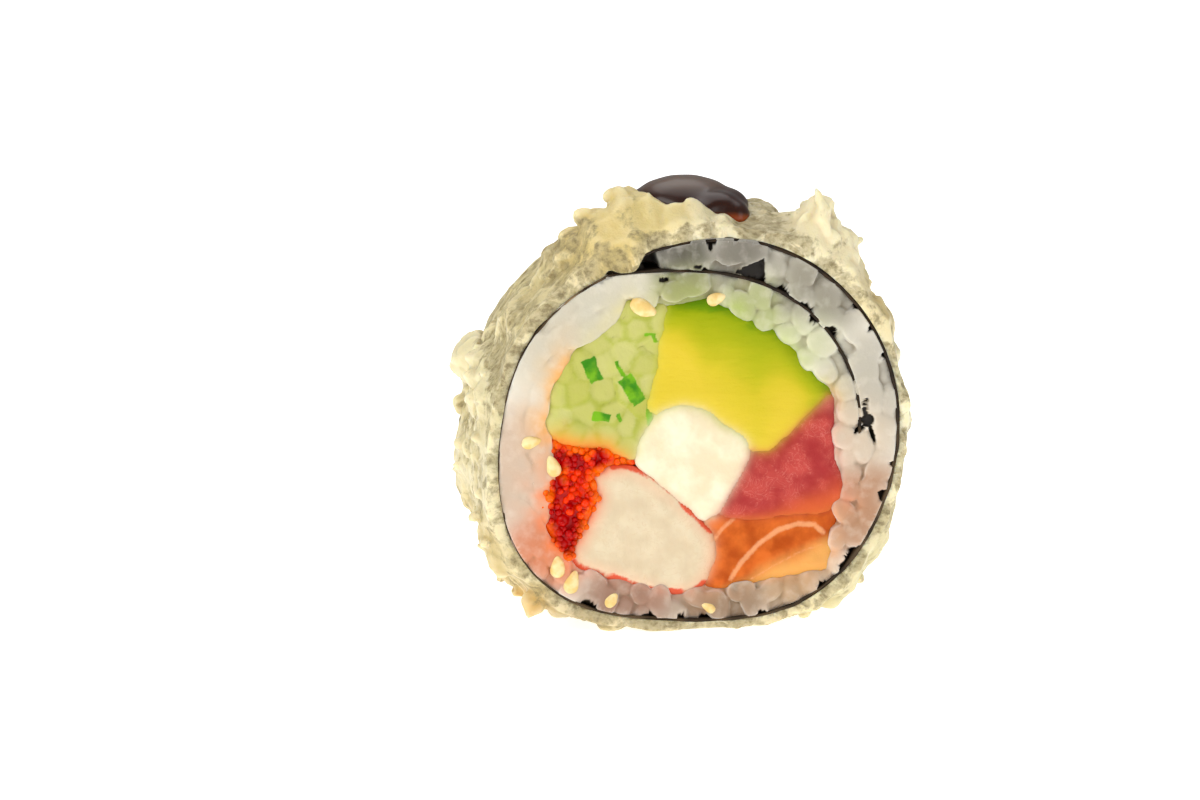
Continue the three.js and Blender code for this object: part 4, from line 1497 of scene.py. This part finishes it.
def paint_tuna(settings):
    """Tuna with pale swirling lines, orange towards the salmon and paler at its top"""
    paint = Paint("tuna")
    place = paint.stretched(1.0, 4.0, 1.0)
    soft = paint.cloud(2.4, 3, 0.5, place)
    threads = paint.cloud(0.9, 4, 0.7, place, 2.5)
    colour = paint.mix(soft.stepped(0.3, 0.7), settings.tuna, tint(196, 78, 70))
    swirls = paint.cloud(1.8, 2, 0.5, place, 3.0)
    line = (1 - (swirls - 0.5).absolute().stepped(0.0, 0.035)) * soft.stepped(0.4, 0.56)
    colour = paint.mix(line * 0.3, colour, tint(232, 146, 132))
    colour = paint.mix(paint.number("orange"), colour, tint(216, 98, 48))
    colour = paint.mix(paint.number("pale"), colour, tint(190, 112, 98))
    return paint.surface(
        paint.running(colour), 0.45 + threads * 0.2, [(threads, 0.06), (soft, 0.15)],
        glow=(0.4, (1.6, 0.5, 0.4), 1.0), specular_ior_level=0.12)


def paint_salmon(settings):
    """Salmon with pale lines of fat, paler along its lower edge"""
    paint = Paint("salmon")
    place = paint.stretched(1.0, 4.0, 1.0)
    soft = paint.cloud(2.6, 3, 0.5, place)
    fine = paint.cloud(0.6, 3, 0.6, place)
    colour = paint.mix(soft.stepped(0.3, 0.7), settings.salmon, tint(220, 110, 36))
    colour = paint.mix(paint.number("pale"), colour, tint(236, 176, 96))
    fat = 1 - (paint.number("fat") + (fine - 0.5) * 0.35).stepped(0.12, 0.5)
    colour = paint.mix(fat * 0.75, colour, tint(240, 176, 124))
    return paint.surface(
        paint.running(colour), 0.45 + fine * 0.2, [(fine, 0.06), (soft, 0.15)],
        glow=(0.4, (1.5, 0.6, 0.3), 0.9), specular_ior_level=0.12)


class SUSHI_OT_fish(bpy.types.Operator):
    """Lay the tuna over the salmon"""

    bl_idname = "sushi.fish"
    bl_label = "Tuna and Salmon"

    def execute(self, context):
        settings = context.scene.sushi_roll.filling
        tuna = shape_filling("tuna", settings.detail / MM)
        points = tuna.points
        ragged = noise(points, 2.2, 2) * 1.2
        tuna.store("orange", 0.85 * stepped(points[:, 0] * 0.5 - points[:, 2] + ragged, 13.5, 19))
        tuna.store("pale", 0.6 * stepped(points[:, 2] + ragged, 0.5, 4.5))
        tuna.finish(paint_tuna(settings), "tuna", "tuna")
        salmon = shape_filling("salmon", settings.detail / MM)
        points = salmon.points
        salmon.store("fat", np.min([
            distance_to_line(points, line) + thinner for thinner, line in SALMON_FAT], axis=0))
        low = points[:, 0] * 0.45 - points[:, 2] + noise(points, 2.6, 3) * 0.8
        salmon.store("pale", 0.85 * stepped(low, 21.0, 24.0))
        salmon.finish(paint_salmon(settings), "salmon", "salmon")
        return {"FINISHED"}


# The avocado's outer side, next to its skin
AVOCADO_RIM = [(-3.6, 16.4), (0.9, 16.9), (5.5, 15.8), (9.6, 13), (14.6, 7.8), (17.6, 4.4), (16.6, 2.8)]


def paint_avocado(settings):
    """Avocado: green at the rim, then yellower, with soft smears"""
    paint = Paint("avocado")
    soft = paint.cloud(4.0, 3, 0.5, paint.stretched(1.6, 3.0, 0.8))
    smear = paint.cloud(0.9, 4, 0.6, paint.stretched(3.0, 3.0, 0.7))
    fine = paint.cloud(0.35, 3, 0.6)
    ripe = paint.number("ripe") + (soft - 0.5) * 3.0 + (smear - 0.5) * 1.6
    colour = paint.ramp(
        ripe / 12, (0.0, settings.avocado_rim), (0.13, tint(152, 166, 2)), (0.4, tint(178, 178, 18)),
        (0.66, tint(208, 190, 40)), (0.98, settings.avocado_heart))
    return paint.surface(
        paint.running(colour), 0.45 + fine * 0.15, [(smear, 0.1), (fine, 0.04)],
        glow=(0.4, (0.9, 0.9, 0.3), 1.0), specular_ior_level=0.12)


class SUSHI_OT_avocado(bpy.types.Operator):
    """Lay the slice of avocado, green at its skin and yellow at its heart"""

    bl_idname = "sushi.avocado"
    bl_label = "Avocado"

    def execute(self, context):
        settings = context.scene.sushi_roll.filling
        flesh = shape_filling("avocado", settings.detail / MM)
        points = flesh.points
        faster = 1 + 1.4 * stepped(points[:, 0], 7, 13) + 1.2 * stepped(-points[:, 0], -1, 4)
        flesh.store("ripe", distance_to_line(points, AVOCADO_RIM) * faster + 0.5 * (faster - 1))
        flesh.finish(paint_avocado(settings), "avocado", "avocado")
        return {"FINISHED"}


# The sticks are thin, so their smallest form is finer than that of the other fillings
CUCUMBER_DETAIL = 0.26

# Strips of skin on the cucumber's sticks, from one x and z to another, and the half width
CUCUMBER_SKINS = [
    ((-14.7, 9.9), (-13.5, 6.9), 0.9), ((-9.8, 7.4), (-7.8, 4.0), 0.95), ((-14.1, 2.5), (-11.7, 2.1), 0.6),
    ((-6.5, 3.9), (-6.5, 1.0), 0.4), ((-10.9, 9.6), (-9.8, 7.2), 0.22), ((-7.4, 13.0), (-5.8, 12.9), 0.2),
    ((-6.3, 13.0), (-5.7, 11.9), 0.22), ((-10.9, 2.6), (-10.3, 1.7), 0.22),
]


def stick_middles(built):
    """The middle of each cucumber stick, from the tops that stand out of the front face"""
    tops = {f for f in built.faces if f.normal.y < -0.99 and f.calc_center_median().y < FRONT + 0.2}
    middles = []
    while tops:
        group, border = [], [tops.pop()]
        while border:
            face = border.pop()
            group.append(face)
            for edge in face.edges:
                for near in edge.link_faces:
                    if near in tops:
                        tops.remove(near)
                        border.append(near)
        area = sum(face.calc_area() for face in group)
        centre = sum((face.calc_center_median() * face.calc_area() for face in group), Vector()) / area
        if area > 0.5:
            middles.append((centre.x, centre.z))
    return middles


def skin_at(points):
    """How much each point lies in one of the strips of skin"""
    most = np.zeros(len(points))
    strayed = 0.18 * np.stack([noise(points, 0.9, 3), noise(points, 0.9, 4)], 1)
    for start, end, half in CUCUMBER_SKINS:
        length = math.dist(start, end)
        along = np.subtract(end, start) / length
        from_start = points[:, [0, 2]] - start + strayed
        share = from_start @ along
        beyond = np.maximum(-share, share - length)
        aside = np.abs(from_start @ (-along[1], along[0])) - half
        most = np.maximum(most, 1 - stepped(np.maximum(beyond, aside), -0.2, 0.25))
    return most


def paint_cucumber(settings):
    """Cucumber: pale sticks with darker seams, strips of green skin, and orange next to the roe"""
    paint = Paint("cucumber")
    soft = paint.cloud(1.8, 3)
    fine = paint.cloud(0.4, 3, 0.6)
    colour = paint.mix(paint.number("stick"), settings.cucumber, tint(200, 198, 122))
    colour = paint.mix(soft.stepped(0.45, 0.8) * 0.4, colour, tint(192, 196, 88))
    seam = paint.number("seam") * (0.35 + soft.stepped(0.35, 0.6) * 0.65)
    colour = paint.mix(seam * 0.7, colour, tint(162, 170, 50))
    colour = paint.mix(paint.number("orange"), colour, tint(226, 168, 60))
    skin = (paint.number("skin") + (fine - 0.5) * 0.6).stepped(0.25, 0.7)
    green = paint.mix(soft.stepped(0.35, 0.7), settings.cucumber_skin, tint(122, 182, 14))
    colour = paint.mix(skin, colour, green)
    return paint.surface(
        paint.running(colour), 0.4 + fine * 0.2, [(soft, 0.15), (fine, 0.05)],
        glow=(0.5, (0.9, 1.0, 0.5), 1.0), specular_ior_level=0.2)


class SUSHI_OT_cucumber(bpy.types.Operator):
    """Bundle the cucumber sticks, some with a strip of skin"""

    bl_idname = "sushi.cucumber"
    bl_label = "Cucumber"

    def execute(self, context):
        settings = context.scene.sushi_roll.filling
        middles = measured("cucumber", stick_middles)
        bundle = shape_filling("cucumber", CUCUMBER_DETAIL)
        points = bundle.points
        gaps = np.stack([np.hypot(points[:, 0] - x, points[:, 2] - z) for x, z in middles], 1)
        order = np.argsort(gaps, axis=1)
        nearest = np.take_along_axis(gaps, order[:, :2], 1)
        draw = np.random.default_rng(4).uniform(0, 1, len(middles))
        bundle.store("stick", draw[order[:, 0]])
        between = nearest[:, 1] - nearest[:, 0] + 0.5 * noise(points, 1.4, 5)
        bundle.store("seam", 1 - stepped(between, -0.1, 1.3))
        bundle.store("skin", skin_at(points))
        wet = SECTION.distance(points, "roe") + 0.8 * noise(points, 1.8, 12)
        bundle.store("orange", 0.75 * (1 - stepped(wet, 0.4, 3.2)) * stepped(-points[:, 0], 6, 12))
        bundle.finish(paint_cucumber(settings), "cucumber", "cucumber")
        return {"FINISHED"}


# The roe

# The bed's upper right corner, where it narrows: the middle and the half sizes of a ball
ROE_CORNER = ((-8.8, 0, -3.8), (1.6, 13.1, 1.0))

# Where the roe is deepest red: x, z and reach
ROE_DEPTHS = [
    (-18.9, -3.6, 1.7), (-16.1, -3.4, 1.3), (-13.4, -3.4, 1.5), (-18.6, -6.4, 1.6), (-17.6, -13.2, 2.7),
    (-19.7, -10.2, 1.5), (-16.9, -9.0, 0.9),
]


def paint_roe(settings):
    """Glossy eggs, some deep red, brighter along the bed's rim"""
    paint = Paint("roe")
    shade = paint.number("shade")
    soft = paint.cloud(2.4, 3)
    deep = (shade + (soft - 0.5) * 1.6 - paint.number("deep") * 0.9).stepped(0.1, 0.8)
    colour = paint.mix(deep, tint(184, 2, 1), settings.colour)
    colour = paint.mix(paint.number("rim") * (1 - paint.number("deep")), colour, tint(254, 110, 4))
    return paint.surface(
        colour, 0.2 + soft * 0.1, [(soft, 0.05)],
        glow=(0.5, (1.2, 0.3, 0.1), 0.5), specular_ior_level=0.18)


class SUSHI_OT_roe(bpy.types.Operator):
    """Heap the tiny eggs of roe between the rice and the crab stick"""

    bl_idname = "sushi.roe"
    bl_label = "Roe"

    def execute(self, context):
        settings = context.scene.sushi_roll.roe
        material = paint_roe(settings)
        bed = Clay.from_node("roe", "roe_bed")
        bed.add(ball("corner", *ROE_CORNER))
        bed.fuse(0.3).relax(6).push(0.3).thin()
        bed.store("shade", np.full(len(bed.points), 0.45))
        bed.store("within", 1 - stepped(SECTION.distance(bed.points, "roe"), 0.1, 0.5))
        growth = Growth(
            "roe_eggs", egg=settings.egg / MM / 2, spacing=settings.spacing / MM, seed=settings.seed,
            material=material)
        seed = growth.input("seed")
        facing = growth.node("ShaderNodeSeparateXYZ", {}, [growth.node("GeometryNodeInputNormal")], output=1)
        on_face = growth.node("FunctionNodeCompare", {"operation": "GREATER_THAN"}, [facing.absolute(), 0.55])
        marked = growth.node(
            "GeometryNodeStoreNamedAttribute", {"data_type": "FLOAT", "domain": "POINT"},
            {"Geometry": growth.scattered(4.0, "within", on_face), "Name": "shade",
             "Value": growth.random(0.0, 1.0, seed)})
        egg = growth.node("GeometryNodeMeshIcoSphere", {}, {"Radius": growth.input("egg"), "Subdivisions": 2})
        bed.add(growth.run(bed, "eggs", growth.copies(marked, egg, scale=growth.random(0.8, 1.15, seed))))
        bed.piece.name = "roe_eggs"
        points = bed.points
        deep = np.zeros(len(points))
        for x, z, reach in ROE_DEPTHS:
            away = np.hypot(points[:, 0] - x, (points[:, 2] - z) * 0.8) + 0.6 * noise(points, 1.6, 7)
            deep = np.maximum(deep, 1 - stepped(away, 0.3 * reach, reach))
        bed.store("deep", deep)
        outline = distance_to_outline(points, measured("roe", wall_outline))
        bed.store("rim", 0.9 * (1 - stepped(outline + 0.7 * noise(points, 1.5, 3), 0.2, 1.6)))
        bed.finish(material, "roe", "roe")
        return {"FINISHED"}


# The sauce

# The drips at the edge of the drop: the middle and the half sizes
DRIPS = [
    ((1.2, -8.2, 28.0), (1.4, 1.5, 1.3)), ((5.4, -7.2, 27.3), (1.9, 2.2, 1.8)),
    ((3.0, -6.0, 28.3), (3.4, 3.0, 1.9)), ((-6.7, -8.0, 27.5), (1.5, 1.7, 1.5)),
]


def paint_sauce(settings):
    """Thick sauce: nearly black, brown where it is thin, and greyer on top, where a reflection is painted"""
    paint = Paint("dark_sauce")
    soft = paint.cloud(3.0, 2)
    thin = 1 - (paint.number("thick") + (soft - 0.5) * 0.8).stepped(0.1, 1.1)
    # Painted reflection: the higher parts of the drop are mixed towards a grey brown
    colour = paint.mix(paint.number("height").stepped(29.2, 31.4), settings.colour, tint(100, 82, 70))
    colour = paint.mix(thin, colour, settings.edge)
    return paint.surface(
        colour, 0.26 + soft * 0.06, [(soft, 0.04)],
        glow=(0.3, (1.5, 0.5, 0.2), 1.0), specular_ior_level=0.32,
        coat_weight=0.08, coat_roughness=0.08)


class SUSHI_OT_sauce(bpy.types.Operator):
    """Drop the thick dark sauce on top of the crust"""

    bl_idname = "sushi.sauce"
    bl_label = "Sauce"

    def execute(self, context):
        settings = context.scene.sushi_roll.sauce
        drop = Clay.from_node("sauce_drop", "sauce_dome")
        drop.add(*[ball("drip", middle, half) for middle, half in DRIPS])
        drop.fuse(settings.detail / MM).relax(60).push(0.45).relax(8)
        points = drop.points
        # The height drives the painted reflection on the top of the drop
        drop.store("height", points[:, 2] + 0.1 * points[:, 1])
        drop.store("thick", np.maximum(0, cover_over_nori(points) - 2.0))
        drop.finish(paint_sauce(settings), "sauce", "sauce_drop")
        return {"FINISHED"}


# The stage

# The lights: name, place in metres, size, power and colour
LIGHTS = [
    ("key_light", (-0.62, -0.42, 0.62), 0.75, 5.0, (1.0, 0.985, 0.96)),
    ("fill_light", (0.7, -0.7, 0.3), 0.8, 2.2, (1, 1, 1)),
    ("top_light", (0.05, 0.35, 0.95), 1.1, 4.6, (1, 1, 1)),
]
SKY_STRENGTH = 0.25
TABLE_GLOW = 0.76

# Camera: the way that it looks, how far it stands, and what lies in the middle of its picture
CAMERA_AZIMUTH = -9.5
CAMERA_ELEVATION = 10.0
CAMERA_DISTANCE = 877.2
CAMERA_TARGET = (0.384, 0.0, 0.02)
CAMERA_ASIDE = (-11.3, 1.84)


def soft_light(name, place, size, power, colour):
    """An area light that looks at the roll"""
    lamp = bpy.data.lights.new(name, "AREA")
    lamp.shape = "DISK"
    lamp.size = size
    lamp.energy = power
    lamp.color = colour
    made = bpy.data.objects.new(name, lamp)
    made.location = place
    made.rotation_euler = (MIDDLE - Vector(place)).to_track_quat("-Z", "Y").to_euler()
    bpy.context.scene.collection.objects.link(made)


class SUSHI_OT_stage(bpy.types.Operator):
    """Set the white table, the soft light and the camera"""

    bl_idname = "sushi.stage"
    bl_label = "Stage"

    def execute(self, context):
        settings = context.scene.sushi_roll.stage
        self.lay_table(settings)
        self.light(context)
        self.place_camera(context, settings)
        return {"FINISHED"}

    @staticmethod
    def lay_table(settings):
        paint = Paint("white_table")
        soft = paint.cloud(40.0, 2)
        colour = paint.mix(soft * 0.04, settings.table, tint(240, 240, 240))
        material = paint.surface(
            colour, 0.6 + soft * 0.1, [(soft, 0.05)], emission_color=(1, 1, 1, 1),
            emission_strength=TABLE_GLOW, specular_ior_level=0.2)
        built = bmesh.new()
        bmesh.ops.create_grid(built, x_segments=8, y_segments=8, size=4.0)
        mesh = bpy.data.meshes.new("table")
        built.to_mesh(mesh)
        built.free()
        mesh.materials.append(material)
        table = bpy.data.objects.new("table", mesh)
        bpy.context.scene.collection.objects.link(table)

    @staticmethod
    def light(context):
        world = bpy.data.worlds.new("studio")
        world.use_nodes = True
        sky = world.node_tree.nodes["Background"]
        sky.inputs["Color"].default_value = (1.0, 1.0, 1.0, 1)
        sky.inputs["Strength"].default_value = SKY_STRENGTH
        context.scene.world = world
        for light in LIGHTS:
            soft_light(*light)
        context.scene.view_settings.view_transform = "Standard"

    @staticmethod
    def place_camera(context, settings):
        azimuth, elevation = math.radians(CAMERA_AZIMUTH), math.radians(CAMERA_ELEVATION)
        back = Vector((
            math.sin(azimuth) * math.cos(elevation), -math.cos(azimuth) * math.cos(elevation),
            math.sin(elevation)))
        right = Vector((math.cos(azimuth), math.sin(azimuth), 0))
        up = back.cross(right)
        target = MIDDLE + Vector(CAMERA_TARGET) * MM
        aside = right * CAMERA_ASIDE[0] + up * CAMERA_ASIDE[1]
        lens = bpy.data.cameras.new("camera")
        lens.lens = settings.lens
        lens.sensor_width = 36.0
        lens.clip_start, lens.clip_end = 0.01, 20
        camera = bpy.data.objects.new("camera", lens)
        camera.location = target + back * CAMERA_DISTANCE * MM
        look = target + aside * MM - camera.location
        camera.rotation_euler = look.to_track_quat("-Z", "Y").to_euler()
        context.scene.collection.objects.link(camera)
        context.scene.camera = camera


STEPS = [
    SUSHI_OT_stage, SUSHI_OT_batter, SUSHI_OT_nori, SUSHI_OT_rice, SUSHI_OT_sesame, SUSHI_OT_cheese,
    SUSHI_OT_crab, SUSHI_OT_fish, SUSHI_OT_avocado, SUSHI_OT_cucumber, SUSHI_OT_roe, SUSHI_OT_sauce,
]


def own_properties(settings):
    """The names of a group's properties, without the two that every group has"""
    return [name for name in settings.bl_rna.properties.keys() if name not in ("rna_type", "name")]


class SUSHI_PT_roll(bpy.types.Panel):
    """The steps that build the slice"""

    bl_idname = "SUSHI_PT_roll"
    bl_label = "Fried Sushi Roll"
    bl_space_type = "VIEW_3D"
    bl_region_type = "UI"
    bl_category = "Sushi Roll"

    def draw(self, context):
        for step in STEPS:
            self.layout.operator(step.bl_idname)
        for group in own_properties(context.scene.sushi_roll):
            box = self.layout.box()
            box.label(text=group.title())
            settings = getattr(context.scene.sushi_roll, group)
            for name in own_properties(settings):
                box.prop(settings, name)


CLASSES = [
    BatterSettings, NoriSettings, RiceSettings, SesameSettings, FillingSettings, RoeSettings,
    SauceSettings, StageSettings, RollSettings, *STEPS, SUSHI_PT_roll,
]


def register():
    for made in CLASSES:
        bpy.utils.register_class(made)
    bpy.types.Scene.sushi_roll = bpy.props.PointerProperty(type=RollSettings)


def unregister():
    del bpy.types.Scene.sushi_roll
    for made in reversed(CLASSES):
        bpy.utils.unregister_class(made)


def main():
    register()
    for step in STEPS:
        group, name = step.bl_idname.split(".")
        getattr(getattr(bpy.ops, group), name)()


if __name__ == "__main__":
    main()
